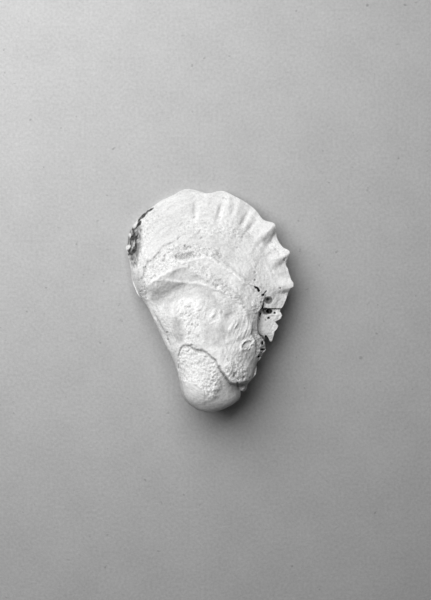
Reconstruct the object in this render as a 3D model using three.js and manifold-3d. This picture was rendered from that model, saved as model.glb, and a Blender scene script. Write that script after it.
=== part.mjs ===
// The cupped valve of an oyster, empty, lying on its rim with the outside up.
// Millimetres, +Z up, +Y towards the fluted margin, -Y towards the hinge.
// The origin is at the bottom centre of the box round the shell.
import * as THREE from 'three';
import { mergeVertices } from 'three/addons/utils/BufferGeometryUtils.js';
import Module from 'manifold-3d';

// ---------------------------------------------------------------- sizes
const CENTRE = { x: 1, y: 0 }; // the plan is drawn round this point
const UMBO = { x: -2.25, y: -25.75 }; // the layers fan out from here
const BOX_MIDDLE = { x: 0.16, y: 0.25 }; // of the drawn plan, moved onto the origin at the end
const CREST = 29; // height of the dome over the rim
const COLUMNS = 44; // squares of the surface grid across the shell
const ROWS = 48; // and along it
const WALL_RINGS = 3; // rows of faces down the side
const EDGE = 1.1; // half the run of a layer's broken edge
const THIN = 2.3; // thickness of the shell near the margin
const THICK = 4.8; // and under the middle of the dome
const CAVITY_DEPTH = 22.5; // from the rim to the roof of the hollow

// smooth outline of the plan, anticlockwise from the top
const OUTLINE = [
  [-12.25, 54.75], [-18.75, 52.25], [-25.75, 48.75], [-34.75, 41.75], [-39.75, 34.25], [-40.75, 25.25],
  [-39.25, 14.25], [-36.25, 4.25], [-30.25, -3.75], [-24.75, -15.75], [-18.75, -28.25], [-15.25, -38.25],
  [-13.25, -46.75], [-8.25, -52.25], [-0.75, -55], [8.75, -52.5], [15.75, -47.25], [20.75, -38.75],
  [23.75, -29.75], [28.25, -20.75], [33.25, -12.25], [35.75, -3.75], [38.75, 4.25], [39.25, 13.25],
  [37.25, 22.75], [33.25, 31.75], [28.25, 39.5], [22.25, 45.75], [15.25, 50.5], [7.75, 53.5], [-2.25, 54.25],
];

// tips and bays of the margin: direction in degrees, half width in degrees, how far it stands out
const SCALLOPS = [
  [102, 5, 0.7], [92, 3.5, -0.8], [84, 4.5, 0.8], [58.5, 4, -0.9], [50.4, 4, 2.5], [42.5, 3, -0.9],
  [32, 3.6, 2.7], [26, 2.6, -0.8], [10.8, 5, 2.8], [3.5, 2.4, -0.6], [-12.5, 3, 0.9], [-19, 2.2, -2],
  [-34.3, 2, 1], [-39.5, 2, -1.2], [148.4, 1.6, 1], [157, 3, -0.5],
];

// by direction from the umbo in degrees: edge height, fullness and roundness of the dome
const FORM = [
  [-135, 17.5, 3.2, 0.6], [-90, 20.2, 6.5, 0.5], [-60, 20.5, 7, 0.5], [-30, 20, 6, 0.52],
  [0, 18, 3.8, 0.75], [22, 17, 2.6, 1.5], [40, 15, 2.2, 2], [60, 10, 2.1, 1.8], [75, 6, 2, 1.5],
  [90, 3.5, 2.1, 1.2], [105, 2.8, 2.1, 1.05], [118, 3.5, 2.2, 1], [132, 7, 2.4, 0.95],
  [150, 14, 2.4, 0.9], [180, 17.5, 2.6, 0.7],
];

// by direction from the centre: how far the wall leans in under the edge, and where the hollow ends
const RIM = [
  [-150, 3.5, 0.86], [-125, 4, 0.8], [-105, 4.5, 0.8], [-90, 5, 0.8], [-75, 4.5, 0.79], [-55, 4, 0.76],
  [-30, 2.5, 0.72], [0, 1.2, 0.76], [45, 0.7, 0.9], [90, 0.6, 0.92], [135, 1, 0.9], [165, 2.5, 0.88],
];

// by direction from the centre: how far the rim hangs over the ground on the right
const HANG = [[-180, 0], [-30, 0], [-8, 8], [12, 12], [35, 11], [55, 6.5], [72, 2], [85, 0], [180, 0]];

// Layer edges as x, y and strength. The higher side lies on the right hand of the way along.
const LAYER_1 = [
  [-34, 9, 0], [-32.75, 12, 0.8], [-31, 16.75, 1], [-29.25, 19.25, 1], [-27.25, 20.75, 1],
  [-24.75, 23.25, 1], [-23, 26, 0.8], [-20.75, 27.25, 0.9], [-17.75, 28.5, 0.7], [-12.75, 31.75, 0.4],
  [-10.75, 32.75, 0],
];
const CREST_LINE = [
  [-32.75, 2.5, 0.4], [-31.5, 5.75, 0.8], [-29.75, 8, 1], [-26.25, 10.5, 1], [-22.25, 12.75, 1],
  [-19.75, 14, 1], [-17.25, 15.5, 0.95], [-14.75, 17, 0.8], [-12, 18.5, 0.6], [-9, 20.1, 0.4],
  [-5, 21.2, 0.2], [-1, 21.5, 0],
];
const LAYER_2 = [
  [-8.75, 23.25, 0], [-4.75, 23.25, 0.5], [0.75, 21.5, 0.9], [3.75, 20.5, 1], [7.75, 18, 1],
  [11.25, 15.6, 1], [15.25, 14, 1], [16.5, 11.5, 1], [19, 9, 1], [22.25, 7.25, 1], [24.75, 5.25, 0.8],
  [26.25, 1.75, 0.4], [26.25, -1.25, 0],
];
const WELT = [
  [-10.75, 17.75, 0], [-6.75, 15.75, 0.7], [-2.75, 12.75, 1], [2.25, 9.25, 1], [7.25, 5.75, 1],
  [11.25, 2.75, 1], [14.75, -0.75, 0.8], [17.75, -5.25, 0.6], [19.75, -10.25, 0.4], [20.25, -15.25, 0],
];
const LIP = [
  [7.75, 1.75, 0], [5.75, 3.25, 0.6], [3.75, 4.75, 1], [1.75, 6, 1], [-0.25, 7.25, 1], [-2.25, 8.15, 1],
  [-4.75, 9, 1], [-7.25, 9.7, 0.9], [-9.75, 9.6, 0.9], [-12.75, 9.25, 1], [-15.75, 9.4, 1],
  [-18.75, 9.9, 0.6], [-22.25, 9.75, 0.5], [-24.75, 9.6, 0.6], [-26.75, 8.75, 0.3], [-28.25, 7.25, 0],
];
const TROUGH = [
  [-29.75, -2.75, 0.1], [-27.25, -2, 0.5], [-24.25, -0.75, 0.95], [-21.25, 1, 1], [-17.75, 3, 0.9],
  [-13.75, 4.5, 0.65], [-9.75, 5.25, 0.4], [-4.75, 4.75, 0.3], [-0.25, 3, 0.2], [3.75, 0.75, 0],
];
const SHOULDER = [
  [-26.25, -3.75, 0], [-20.25, -0.75, 0.8], [-12.25, 1, 1], [-4.25, 0.5, 1], [2.75, -2.75, 0.7],
  [7.75, -7.75, 0],
];
const KNOB_CRACK = [
  [20.75, -38.75, 0.3], [19.25, -39.75, 0.6], [16.75, -40.5, 1], [14.25, -41.25, 1], [11.75, -41.5, 1],
  [9.75, -40.75, 1], [7.75, -38.25, 1], [5.75, -35.25, 0.9], [4.25, -32.25, 0.8], [2.75, -29.75, 0.7],
  [-0.75, -26.5, 0.6], [-3.25, -24.9, 0.6], [-6.25, -24, 0.6], [-8.25, -22.75, 0.5],
  [-9.75, -21.75, 0.4], [-12.25, -21.75, 0.4], [-14.25, -23.5, 0.4], [-15.5, -26.25, 0.3],
  [-15.75, -30.75, 0.25], [-15.5, -36, 0.2], [-15, -40, 0],
];
const LAMINA = [
  [22.5, -38, 1], [20.75, -38.75, 1], [19.25, -39.75, 1], [16.75, -40.5, 1], [14.25, -41.25, 1],
  [11.75, -41.5, 0.9], [9.75, -40.75, 0.7], [7.75, -38.25, 0.4], [5.75, -35.25, 0.2], [4.25, -32.25, 0],
];
const KNOB_LOWER = [
  [4.75, -33.75, 0], [5.25, -38.25, 0.7], [5, -42.25, 0.9], [3.75, -45.75, 1], [1.75, -48.25, 1],
  [-1.75, -49.75, 1], [-4.75, -50.4, 0.9], [-8.25, -50.75, 0.6], [-10.75, -49.75, 0],
];

// the broken right side as y and x: the body's edge, then the step onto the outer plates
const BODY_EDGE = [
  [1.25, 23.75], [-2.75, 21.75], [-5.75, 20.75], [-10.75, 21], [-13.75, 21.25], [-16.25, 20.75],
  [-18.25, 21.75], [-20.25, 22.5], [-23.75, 22.75], [-25.75, 22.5], [-27.75, 23.5], [-30.25, 24.25],
  [-35.75, 24.25], [-40.75, 22.25], [-44.75, 17.75],
];
const OUTER_EDGE = [
  [6, 28], [1, 27.2], [-1.25, 26.25], [-4.25, 25.5], [-5.6, 24.2], [-9.75, 23.9], [-14.75, 23.8],
  [-16.25, 24.6], [-18.75, 26.2], [-20.25, 27], [-24, 28], [-30, 27], [-44, 24],
];
// y and height: at the body's edge, where the strip beside it ends, and on the outer plates
const STRIP_TOP = [[-44, 16], [-34, 21], [-24, 22.5], [-14, 23], [-4, 22.5]];
const STRIP_FOOT = [[-44, 12], [-34, 17], [-24, 19], [-14, 20.5], [-4, 20.5]];
const PLATE_HEIGHT = [
  [-40, 9], [-26, 14], [-16, 17], [-7, 17.6], [-4.5, 16.8], [-3.8, 18], [6, 19],
];

// slots between the plates as x, y and half width, and how far down each goes
const SLOTS = [
  {
    floor: 16.2,
    knots: [
      [26.8, -1, 0.2], [26.4, -3.75, 0.5], [25.4, -5.9, 0.7], [24.85, -8, 0.65], [24.65, -10.75, 0.5],
      [24.45, -13.75, 0.35], [24.5, -16, 0.15],
    ],
  },
  {
    floor: 15,
    knots: [
      [26, -4.1, 0.4], [29, -4.1, 0.5], [32, -4.2, 0.38], [35, -4.3, 0.42], [39, -4.4, 0.5],
    ],
  },
  {
    floor: 8,
    knots: [
      [27.6, -17.2, 0.3], [28.3, -18.6, 0.7], [28.8, -21, 1.2], [29.5, -24, 1.6],
    ],
  },
];

// flutes as tip x, y, root x, y, lift and half width at the tip
const FLUTES = [
  [32.25, 37.75, 20.25, 29.75, 2.6, 2.5], [39.75, 24.25, 29.25, 20.75, 2.5, 2.4],
  [41.75, 7.25, 29, 8, 1.9, 3.4], [-10.75, 55.25, -11.75, 44, 0.5, 4],
  [-0.75, 53.75, -1.25, 45, 0.4, 2.6], [9.75, 50.25, 9.25, 42.25, 0.6, 2],
  [14.25, 47.75, 12.25, 39.25, 0.5, 1.6], [19.25, 39.25, 16.75, 34.75, 0.5, 1.4],
  [31.75, 33, 24.75, 26.25, -2.6, 2], [38.75, 20, 30.25, 16.25, -2.2, 1.8],
  [38.9, 3.25, 34.25, 3.25, -1.6, 1.3],
];
// rounded dents between the small flutes as x, y, half length, half width, turn and depth
const DENTS = [
  [-6.5, 45.25, 4, 1.3, 86, 0.55], [5.25, 44.75, 3.2, 1.1, 72, 1.1], [11.75, 44.75, 3, 1.1, 66, 0.45],
  [17.25, 40.75, 3.6, 1, 62, 1.3], [20.4, 36.6, 3, 0.9, 52, 0.8], [9.8, -7.6, 2.4, 1.9, 20, 0.7],
  [25, 28.5, 3.5, 1.6, 45, 0.5],
];
// broad swellings in the same order, with their rise: the low right, and the knob
const SWELLINGS = [[8, -34, 10, 13, 0, 3], [-1, -45.5, 12, 8.5, 0, 2.8]];
// small lumps on the right of the body in the same order, with their height
const LUMPS = [
  [13.2, -12.2, 2.4, 0.9, 45, 0.9], [13.9, -17.2, 2.9, 0.9, 62, 0.7], [9.4, -16, 2.4, 0.9, 55, 0.5],
  [18.5, -21.5, 3.6, 1.9, 37, 0.9],
];
// borings as x, y, half length, half width, turn and depth
const BORINGS = [
  [29.4, 0.4, 1.7, 1.6, 0, 4.2], [23.6, 5.7, 1.7, 0.8, -42, 4], [29.6, -5.4, 1.3, 1.2, 0, 3],
];

// ---------------------------------------------------------------- helpers
const { smoothstep, lerp, degToRad, radToDeg } = THREE.MathUtils;
const bell = (t) => Math.exp(-t * t);

// points of a smooth curve through hand-set x, y and a third value
function smoothLine(knots, closed = false, steps = 8) {
  const points = knots.map(([x, y, third = 0]) => new THREE.Vector3(x, y, third));
  const curve = new THREE.CatmullRomCurve3(points, closed, 'catmullrom', 0.5);
  return curve.getPoints((closed ? points.length : points.length - 1) * steps);
}

// value of a column of a table at a direction, going round smoothly
function byDirection(rows, column, degrees) {
  const first = rows[0][0];
  const turn = ((degrees - first) % 360 + 360) % 360;
  let i = rows.length - 1;
  while (rows[i][0] - first > turn) i -= 1;
  const next = (i + 1) % rows.length;
  const end = next === 0 ? 360 : rows[next][0] - first;
  const share = (turn - (rows[i][0] - first)) / (end - (rows[i][0] - first));
  return lerp(rows[i][column], rows[next][column], share * share * (3 - 2 * share));
}

// straight interpolation in a table of pairs, in either order
function byPlace(rows, place) {
  const sorted = [...rows].sort((a, b) => a[0] - b[0]);
  if (place <= sorted[0][0]) return sorted[0][1];
  for (let i = 1; i < sorted.length; i += 1) {
    if (place <= sorted[i][0]) {
      const share = (place - sorted[i - 1][0]) / (sorted[i][0] - sorted[i - 1][0]);
      return lerp(sorted[i - 1][1], sorted[i][1], share);
    }
  }
  return sorted[sorted.length - 1][1];
}

// distance to a line and the third value there: positive on the right hand of the way along
function along(line, x, y) {
  let best = Infinity;
  let side = 1;
  let third = 0;
  for (let i = 1; i < line.length; i += 1) {
    const a = line[i - 1];
    const b = line[i];
    const ex = b.x - a.x;
    const ey = b.y - a.y;
    const share = THREE.MathUtils.clamp(((x - a.x) * ex + (y - a.y) * ey) / (ex * ex + ey * ey), 0, 1);
    const away = Math.hypot(x - a.x - share * ex, y - a.y - share * ey);
    if (away < best) {
      best = away;
      side = ex * (y - a.y) - ey * (x - a.x) > 0 ? -1 : 1;
      third = lerp(a.z, b.z, share);
    }
  }
  return { away: best * side, third };
}

// ---------------------------------------------------------------- plan
const outline = smoothLine(OUTLINE, true, 12).map((p) => {
  const dx = p.x - CENTRE.x;
  const dy = p.y - CENTRE.y;
  return [radToDeg(Math.atan2(dy, dx)), Math.hypot(dx, dy)];
});
outline.sort((a, b) => a[0] - b[0]);
const plan = [[outline.at(-1)[0] - 360, outline.at(-1)[1]], ...outline, [outline[0][0] + 360, outline[0][1]]];

// radius of the smooth plan round the centre
const smoothRadius = (degrees) => byPlace(plan, degrees);

// radius of the margin with its scallops
function marginRadius(degrees) {
  let radius = smoothRadius(degrees);
  for (const [middle, half, out] of SCALLOPS) {
    const away = ((degrees - middle + 540) % 360 + 360) % 360 - 180;
    radius += out * bell(away / half);
  }
  return radius;
}

// distance from the umbo to the smooth plan for each degree, then evened out over the neighbours
function umboReach() {
  const raw = [];
  for (let degree = -180; degree < 180; degree += 1) {
    const dx = Math.cos(degToRad(degree));
    const dy = Math.sin(degToRad(degree));
    let low = 0;
    let high = 130;
    for (let step = 0; step < 22; step += 1) {
      const middle = (low + high) / 2;
      const x = UMBO.x + dx * middle - CENTRE.x;
      const y = UMBO.y + dy * middle - CENTRE.y;
      if (Math.hypot(x, y) > smoothRadius(radToDeg(Math.atan2(y, x)))) high = middle;
      else low = middle;
    }
    raw.push(low);
  }
  const spread = 6;
  return raw.map((_, i) => {
    let sum = 0;
    let weight = 0;
    for (let k = -2 * spread; k <= 2 * spread; k += 1) {
      const w = bell(k / spread);
      sum += w * raw[(i + k + 360) % 360];
      weight += w;
    }
    return sum / weight;
  });
}
const reachTable = umboReach();

// share of the way from the umbo to the margin
function reach(x, y) {
  const degrees = radToDeg(Math.atan2(y - UMBO.y, x - UMBO.x)) + 180;
  const i = Math.floor(degrees);
  const far = lerp(reachTable[i % 360], reachTable[(i + 1) % 360], degrees - i);
  return Math.hypot(x - UMBO.x, y - UMBO.y) / far;
}

// ---------------------------------------------------------------- outer surface
// the plain dome
function dome(x, y) {
  const share = Math.min(reach(x, y), 1);
  const degrees = radToDeg(Math.atan2(y - UMBO.y, x - UMBO.x));
  const edge = byDirection(FORM, 1, degrees);
  const fullness = byDirection(FORM, 2, degrees);
  const roundness = byDirection(FORM, 3, degrees);
  return edge + (CREST - edge) * (1 - share ** fullness) ** roundness;
}

// a broken layer edge: up to it from the high side, then a sharp drop
function ledge(line, x, y, rise, run, drop, dropRun, edge = EDGE) {
  const { away, third } = along(line, x, y);
  const up = smoothstep(away, -edge, edge);
  return third * (up * rise * bell(away / run) - (1 - up) * drop * bell(away / dropRun));
}

// a rounded crest, or a trough where rise is below zero
function ridge(line, x, y, rise, right, left) {
  const { away, third } = along(line, x, y);
  return third * rise * bell(away / (away > 0 ? right : left));
}

// rounded up to the line from the left, and sharp at the line, from where it falls off evenly
function crest(line, x, y, rise, right, left) {
  const { away, third } = along(line, x, y);
  return third * rise * (away > 0 ? Math.exp(-away / right) : bell(away / left));
}

// a rounded oval lump, or a dent where rise is below zero
function lump(x, y, [middleX, middleY, halfLength, halfWidth, turn, rise]) {
  const c = Math.cos(degToRad(turn));
  const s = Math.sin(degToRad(turn));
  const u = ((x - middleX) * c + (y - middleY) * s) / halfLength;
  const v = (-(x - middleX) * s + (y - middleY) * c) / halfWidth;
  return rise * Math.exp(-u * u - v * v);
}

// one flute of the margin, rising from its root to its tip
function flute(x, y, [tipX, tipY, rootX, rootY, lift, half]) {
  const ax = tipX - rootX;
  const ay = tipY - rootY;
  const length = Math.hypot(ax, ay);
  const share = ((x - rootX) * ax + (y - rootY) * ay) / (length * length);
  const away = Math.abs((x - rootX) * ay - (y - rootY) * ax) / length;
  const width = half * (0.55 + 0.45 * THREE.MathUtils.clamp(share, 0, 1.3));
  const before = Math.max(-share, 0) * length;
  return lift * smoothstep(share, -0.15, 0.9) * bell(away / width) * bell(before / half);
}

const lines = Object.fromEntries(Object.entries({
  LAYER_1, CREST_LINE, LAYER_2, WELT, LIP, TROUGH, SHOULDER, KNOB_CRACK, LAMINA, KNOB_LOWER,
}).map(([name, knots]) => [name, smoothLine(knots)]));

// the sum of the flutes, which also lifts the rim under them
const fluting = (x, y) => FLUTES.reduce((sum, f) => sum + flute(x, y, f), 0);

// takes whatever stands over a shelf down to it, by a share
const lowerTo = (z, shelf, share) => z - Math.max(z - shelf, 0) * share;

// steps the right side down from the body to a strip, and from the strip to the outer plates
function brokenSide(z, x, y) {
  const bodyX = byPlace(BODY_EDGE, y);
  const outerX = byPlace(OUTER_EDGE, y);
  const across = THREE.MathUtils.clamp((x - bodyX) / Math.max(outerX - bodyX, 0.5), 0, 1);
  const shelf = lerp(byPlace(STRIP_TOP, y), byPlace(STRIP_FOOT, y), across);
  const strip = smoothstep(x - bodyX, -EDGE, EDGE) * (1 - smoothstep(y, -1.5, 3.5));
  const plate = byPlace(PLATE_HEIGHT, y) - 0.12 * Math.max(x - 26, 0) - 1.3 * bell((x - outerX) / 2.4);
  const outside = smoothstep(x - outerX, -EDGE, EDGE) * (1 - smoothstep(y, -1.5, 6));
  return lowerTo(lowerTo(z, shelf, strip), plate, outside);
}

// height of the outer surface over the rim
function outerHeight(x, y) {
  let z = dome(x, y) + fluting(x, y);
  z += ledge(lines.LAYER_1, x, y, 0.5, 3, 0, 1);
  z += crest(lines.CREST_LINE, x, y, 3.1, 4.8, 3);
  z += ledge(lines.LAYER_2, x, y, 1, 5, 0, 1);
  z += ridge(lines.WELT, x, y, 0.9, 2.2, 1.8);
  z += ridge(lines.TROUGH, x, y, -4.8, 5.5, 4.8);
  z += ridge(lines.LIP, x, y, 0.6, 1.4, 1.4);
  z += ridge(lines.SHOULDER, x, y, 0.5, 4, 3);
  z += ledge(lines.KNOB_CRACK, x, y, 0.5, 2.5, 1.9, 9, 2.6);
  z += ledge(lines.LAMINA, x, y, 0.6, 4, 4.5, 9, 3.4);
  z += ledge(lines.KNOB_LOWER, x, y, 0, 3, 0.45, 4);
  for (const item of [...SWELLINGS, ...LUMPS]) z += lump(x, y, item);
  for (const dent of DENTS) z -= lump(x, y, dent);
  return brokenSide(z, x, y);
}

// ---------------------------------------------------------------- closed surface
// direction and share of the radius for a point of the square from -1 to 1
function disc(u, v) {
  const x = u * Math.sqrt(1 - (v * v) / 2);
  const y = v * Math.sqrt(1 - (u * u) / 2);
  return { degrees: radToDeg(Math.atan2(y, x)), share: Math.hypot(x, y) };
}

function planPoint(degrees, radius) {
  const a = degToRad(degrees);
  return { x: CENTRE.x + radius * Math.cos(a), y: CENTRE.y + radius * Math.sin(a) };
}

const rimRadius = (degrees) => marginRadius(degrees) - byDirection(RIM, 1, degrees);

// height of the rim's underside: on the ground, but lifted under a flute
function rimHeight(degrees) {
  const { x, y } = planPoint(degrees, marginRadius(degrees));
  return Math.max(fluting(x, y), 0) * 0.9 + byPlace(HANG, degrees);
}

function outerPoint(u, v) {
  const { degrees, share } = disc(u, v);
  const { x, y } = planPoint(degrees, share * marginRadius(degrees));
  return [x, y, outerHeight(x, y)];
}

function innerPoint(u, v) {
  const { degrees, share } = disc(u, v);
  const { x, y } = planPoint(degrees, share * rimRadius(degrees));
  const lift = rimHeight(degrees) * smoothstep(share, 0.75, 1);
  const hollow = Math.min(share / byDirection(RIM, 2, degrees), 1);
  const roof = CAVITY_DEPTH * (1 - hollow ** 2.4) ** 0.85;
  const thickness = lerp(THICK, THIN, smoothstep(share, 0.1, 0.8));
  const room = outerHeight(x, y) - lift - thickness;
  return [x, y, lift + Math.max(Math.min(roof, room), 0)];
}

// the wall between the outer and the inner surface, at a share of the way down
function wallPoint(u, v, down) {
  const { degrees } = disc(u, v);
  const [, , top] = outerPoint(u, v);
  const lean = byDirection(RIM, 1, degrees) * down ** 1.4;
  const { x, y } = planPoint(degrees, marginRadius(degrees) - lean);
  return [x, y, lerp(top, rimHeight(degrees), down)];
}

// place of a grid line between -1 and 1
const gridShare = (line, count) => -1 + (2 * line) / count;

// splits the squares of a grid along whichever diagonal climbs less
function evenDiagonals(index, points) {
  const climb = (i, k) => Math.abs(points[3 * i + 2] - points[3 * k + 2]);
  for (let i = 0; i < index.length; i += 6) {
    const [a, b, d, , c] = index.slice(i, i + 5);
    if (climb(a, c) < climb(b, d)) index.splice(i, 6, a, b, c, a, c, d);
  }
}

// a three.js plane bent onto a surface, seen from the outside of the shell
function sheet(place, outward) {
  const plane = new THREE.PlaneGeometry(2, 2, COLUMNS, ROWS);
  const position = plane.getAttribute('position');
  for (let i = 0; i < position.count; i += 1) {
    const column = Math.round(((position.getX(i) + 1) * COLUMNS) / 2);
    const row = Math.round(((position.getY(i) + 1) * ROWS) / 2);
    position.setXYZ(i, ...place(gridShare(column, COLUMNS), gridShare(row, ROWS)));
  }
  const index = [...plane.getIndex().array];
  evenDiagonals(index, position.array);
  if (!outward) index.reverse();
  return { points: [...position.array], index };
}

// the grid's border as u, v pairs, anticlockwise
function border() {
  const pairs = [];
  for (let i = 0; i < COLUMNS; i += 1) pairs.push([gridShare(i, COLUMNS), -1]);
  for (let i = 0; i < ROWS; i += 1) pairs.push([1, gridShare(i, ROWS)]);
  for (let i = COLUMNS; i > 0; i -= 1) pairs.push([gridShare(i, COLUMNS), 1]);
  for (let i = ROWS; i > 0; i -= 1) pairs.push([-1, gridShare(i, ROWS)]);
  return pairs;
}

function wall() {
  const pairs = border();
  const points = [];
  const index = [];
  for (let ring = 0; ring <= WALL_RINGS; ring += 1) {
    for (const [u, v] of pairs) {
      if (ring === 0) points.push(...outerPoint(u, v));
      else if (ring === WALL_RINGS) points.push(...innerPoint(u, v));
      else points.push(...wallPoint(u, v, ring / WALL_RINGS));
    }
  }
  const count = pairs.length;
  for (let ring = 0; ring < WALL_RINGS; ring += 1) {
    for (let i = 0; i < count; i += 1) {
      const a = ring * count + i;
      const b = ring * count + ((i + 1) % count);
      index.push(a, a + count, b, b, a + count, b + count);
    }
  }
  return { points, index };
}

// several sheets as one closed geometry with shared vertices
function closed(sheets) {
  const points = [];
  const index = [];
  for (const part of sheets) {
    const start = points.length / 3;
    points.push(...part.points);
    index.push(...part.index.map((i) => i + start));
  }
  const geometry = new THREE.BufferGeometry();
  geometry.setAttribute('position', new THREE.Float32BufferAttribute(points, 3));
  geometry.setIndex(index);
  return mergeVertices(geometry, 1e-4);
}

// ---------------------------------------------------------------- cutters
// an upright prism over a strip of changing width, from a floor up past the crest
function slotCutter({ knots, floor }) {
  const left = [];
  const right = [];
  const line = smoothLine(knots);
  for (let i = 0; i < line.length; i += 2) {
    const before = line[Math.max(i - 1, 0)];
    const after = line[Math.min(i + 1, line.length - 1)];
    const way = new THREE.Vector2(after.x - before.x, after.y - before.y).normalize();
    left.push(new THREE.Vector2(line[i].x - way.y * line[i].z, line[i].y + way.x * line[i].z));
    right.push(new THREE.Vector2(line[i].x + way.y * line[i].z, line[i].y - way.x * line[i].z));
  }
  const shape = new THREE.Shape([...left, ...right.reverse()]);
  const prism = new THREE.ExtrudeGeometry(shape, { depth: CREST + 2 - floor, bevelEnabled: false });
  return prism.translate(0, 0, floor);
}

function boringCutter([x, y, halfLength, halfWidth, turn, depth]) {
  const cutter = new THREE.CylinderGeometry(1, 0.7, 2 * depth, 10).rotateX(Math.PI / 2);
  cutter.scale(halfLength, halfWidth, 1).rotateZ(degToRad(turn));
  return cutter.translate(x, y, outerHeight(x, y));
}

// ---------------------------------------------------------------- the shell
const wasm = await Module();
wasm.setup();

function toSolid(geometry) {
  const bare = geometry.clone();
  bare.deleteAttribute('normal');
  bare.deleteAttribute('uv');
  const merged = mergeVertices(bare, 1e-4);
  return new wasm.Manifold(new wasm.Mesh({
    numProp: 3,
    vertProperties: Float32Array.from(merged.getAttribute('position').array),
    triVerts: Uint32Array.from(merged.getIndex().array),
  }));
}

function toGeometry(solid) {
  const mesh = solid.getMesh();
  const geometry = new THREE.BufferGeometry();
  geometry.setAttribute('position', new THREE.Float32BufferAttribute(mesh.vertProperties, 3));
  geometry.setIndex([...mesh.triVerts]);
  geometry.computeVertexNormals();
  return geometry;
}

let shell = toSolid(closed([sheet(outerPoint, true), wall(), sheet(innerPoint, false)]));
for (const cutter of [...SLOTS.map(slotCutter), ...BORINGS.map(boringCutter)]) {
  shell = shell.subtract(toSolid(cutter));
}

const chalk = new THREE.MeshStandardMaterial({ color: 0xdedede, roughness: 0.85, metalness: 0 });
const valve = new THREE.Mesh(toGeometry(shell), chalk);
valve.name = 'oyster_shell';
valve.geometry.translate(-BOX_MIDDLE.x, -BOX_MIDDLE.y, 0);

const oyster = new THREE.Group();
oyster.add(valve);
export default oyster;
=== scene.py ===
"""The cupped valve of an oyster, empty, lying on its rim: surface, materials, floor, light and camera."""

import bpy
import numpy as np
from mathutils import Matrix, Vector


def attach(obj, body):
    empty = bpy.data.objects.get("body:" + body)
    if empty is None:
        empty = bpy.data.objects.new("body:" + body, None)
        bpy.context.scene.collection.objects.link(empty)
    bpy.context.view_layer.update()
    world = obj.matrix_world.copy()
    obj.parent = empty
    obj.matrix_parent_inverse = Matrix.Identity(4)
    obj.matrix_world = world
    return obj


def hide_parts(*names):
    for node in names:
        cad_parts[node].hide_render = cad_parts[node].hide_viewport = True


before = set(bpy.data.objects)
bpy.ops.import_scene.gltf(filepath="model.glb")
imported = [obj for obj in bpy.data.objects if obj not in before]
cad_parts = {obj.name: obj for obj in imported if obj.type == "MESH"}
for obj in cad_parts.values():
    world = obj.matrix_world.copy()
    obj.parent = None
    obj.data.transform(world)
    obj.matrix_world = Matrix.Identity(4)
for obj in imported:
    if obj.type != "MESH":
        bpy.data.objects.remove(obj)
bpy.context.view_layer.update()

# ---- sizes, in millimetres as in the part's source
MM = 0.001
BOX_MIDDLE = (0.16, 0.25)   # of the drawn plan, moved onto the origin at the end
CENTRE = (1.0, 0.0)         # the plan is drawn round this point
UMBO = (-2.25, -25.75)      # the layers fan out from here
CREST = 29.0                # height of the dome over the rim
COLUMNS, ROWS = 244, 272    # squares of the outer grid across the shell and along it
COARSER = 4                 # the inner grid has squares this many times as large
WALL_RINGS = 22             # rows of faces down the side
EDGE = 0.3                  # half the run of a layer's broken edge
THIN, THICK = 2.3, 4.8      # thickness near the margin and under the middle of the dome
CAVITY_DEPTH = 22.5         # from the rim to the roof of the hollow
LEAST = 0.9                 # no wall is thinner than this
RING_WAVES = 95             # radians of the growth rings' wave from the umbo to the margin
STREAK_BANDS = 58           # bands of the streaks on the same way
LATTICE = 64                # knots across the square of random values that noise repeats
NOTHING = 1e-12             # lengths below this are taken as none
DEGREES = np.arange(-180, 180)

# smooth outline of the plan, anticlockwise from the top
OUTLINE = [
    (-12.25, 54.75), (-18.75, 52.25), (-25.75, 48.75), (-34.75, 41.75), (-39.75, 34.25), (-40.75, 25.25),
    (-39.25, 14.25), (-36.25, 4.25), (-30.25, -3.75), (-24.75, -15.75), (-18.75, -28.25),
    (-15.25, -38.25), (-13.25, -46.75), (-8.25, -52.25), (-0.75, -55), (8.75, -52.5), (15.75, -47.25),
    (20.75, -38.75), (23.75, -29.75), (28.25, -20.75), (33.25, -12.25), (35.75, -3.75), (38.75, 4.25),
    (39.25, 13.25), (37.25, 22.75), (33.25, 31.75), (28.25, 39.5), (22.25, 45.75), (15.25, 50.5),
    (7.75, 53.5), (-2.25, 54.25),
]
# tips and bays of the margin: direction in degrees, half width in degrees, how far it stands out
SCALLOPS = [
    (102, 5, 0.7), (92, 3.5, -0.8), (84, 4.5, 0.8), (58.5, 4, -0.9), (50.4, 4, 2.5), (42.5, 3, -0.3),
    (32, 3.6, 2.7), (26, 2.6, -0.8), (10.8, 5, 2.8), (3.5, 2.4, -0.6), (-12.5, 3, 0.9), (-19, 2.2, -2),
    (-34.3, 2, 1), (-39.5, 2, -1.2), (148.4, 1.6, 1), (157, 3, -0.5),
]
# the broken margin on the right, from the last flute down to the knob
BROKEN_MARGIN = [
    (39.25, 14.25), (40.25, 10.25), (41.5, 8.75), (41.65, 6.9), (40, 6.1), (38.75, 3.25), (37.75, 0.25),
    (36.75, -2.25), (35.75, -3.75), (34.6, -5.25), (35.9, -7.25), (35.25, -9), (33.4, -9.75),
    (32.25, -10.5), (34, -12.5), (33.5, -14), (32.25, -15.25), (31.5, -17.75), (30.6, -20.1),
    (27.9, -20.2), (27.75, -24.25), (26.4, -25.75), (25.25, -28.25), (23.75, -30.25), (23.1, -31.25),
    (23.25, -33.75), (22.75, -36.25), (21.25, -38.25), (19.25, -40.25), (18.75, -41.5), (18.25, -43.75),
    (16.75, -44.75), (15.25, -44), (15.25, -47.25), (14.25, -49.75),
]
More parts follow.
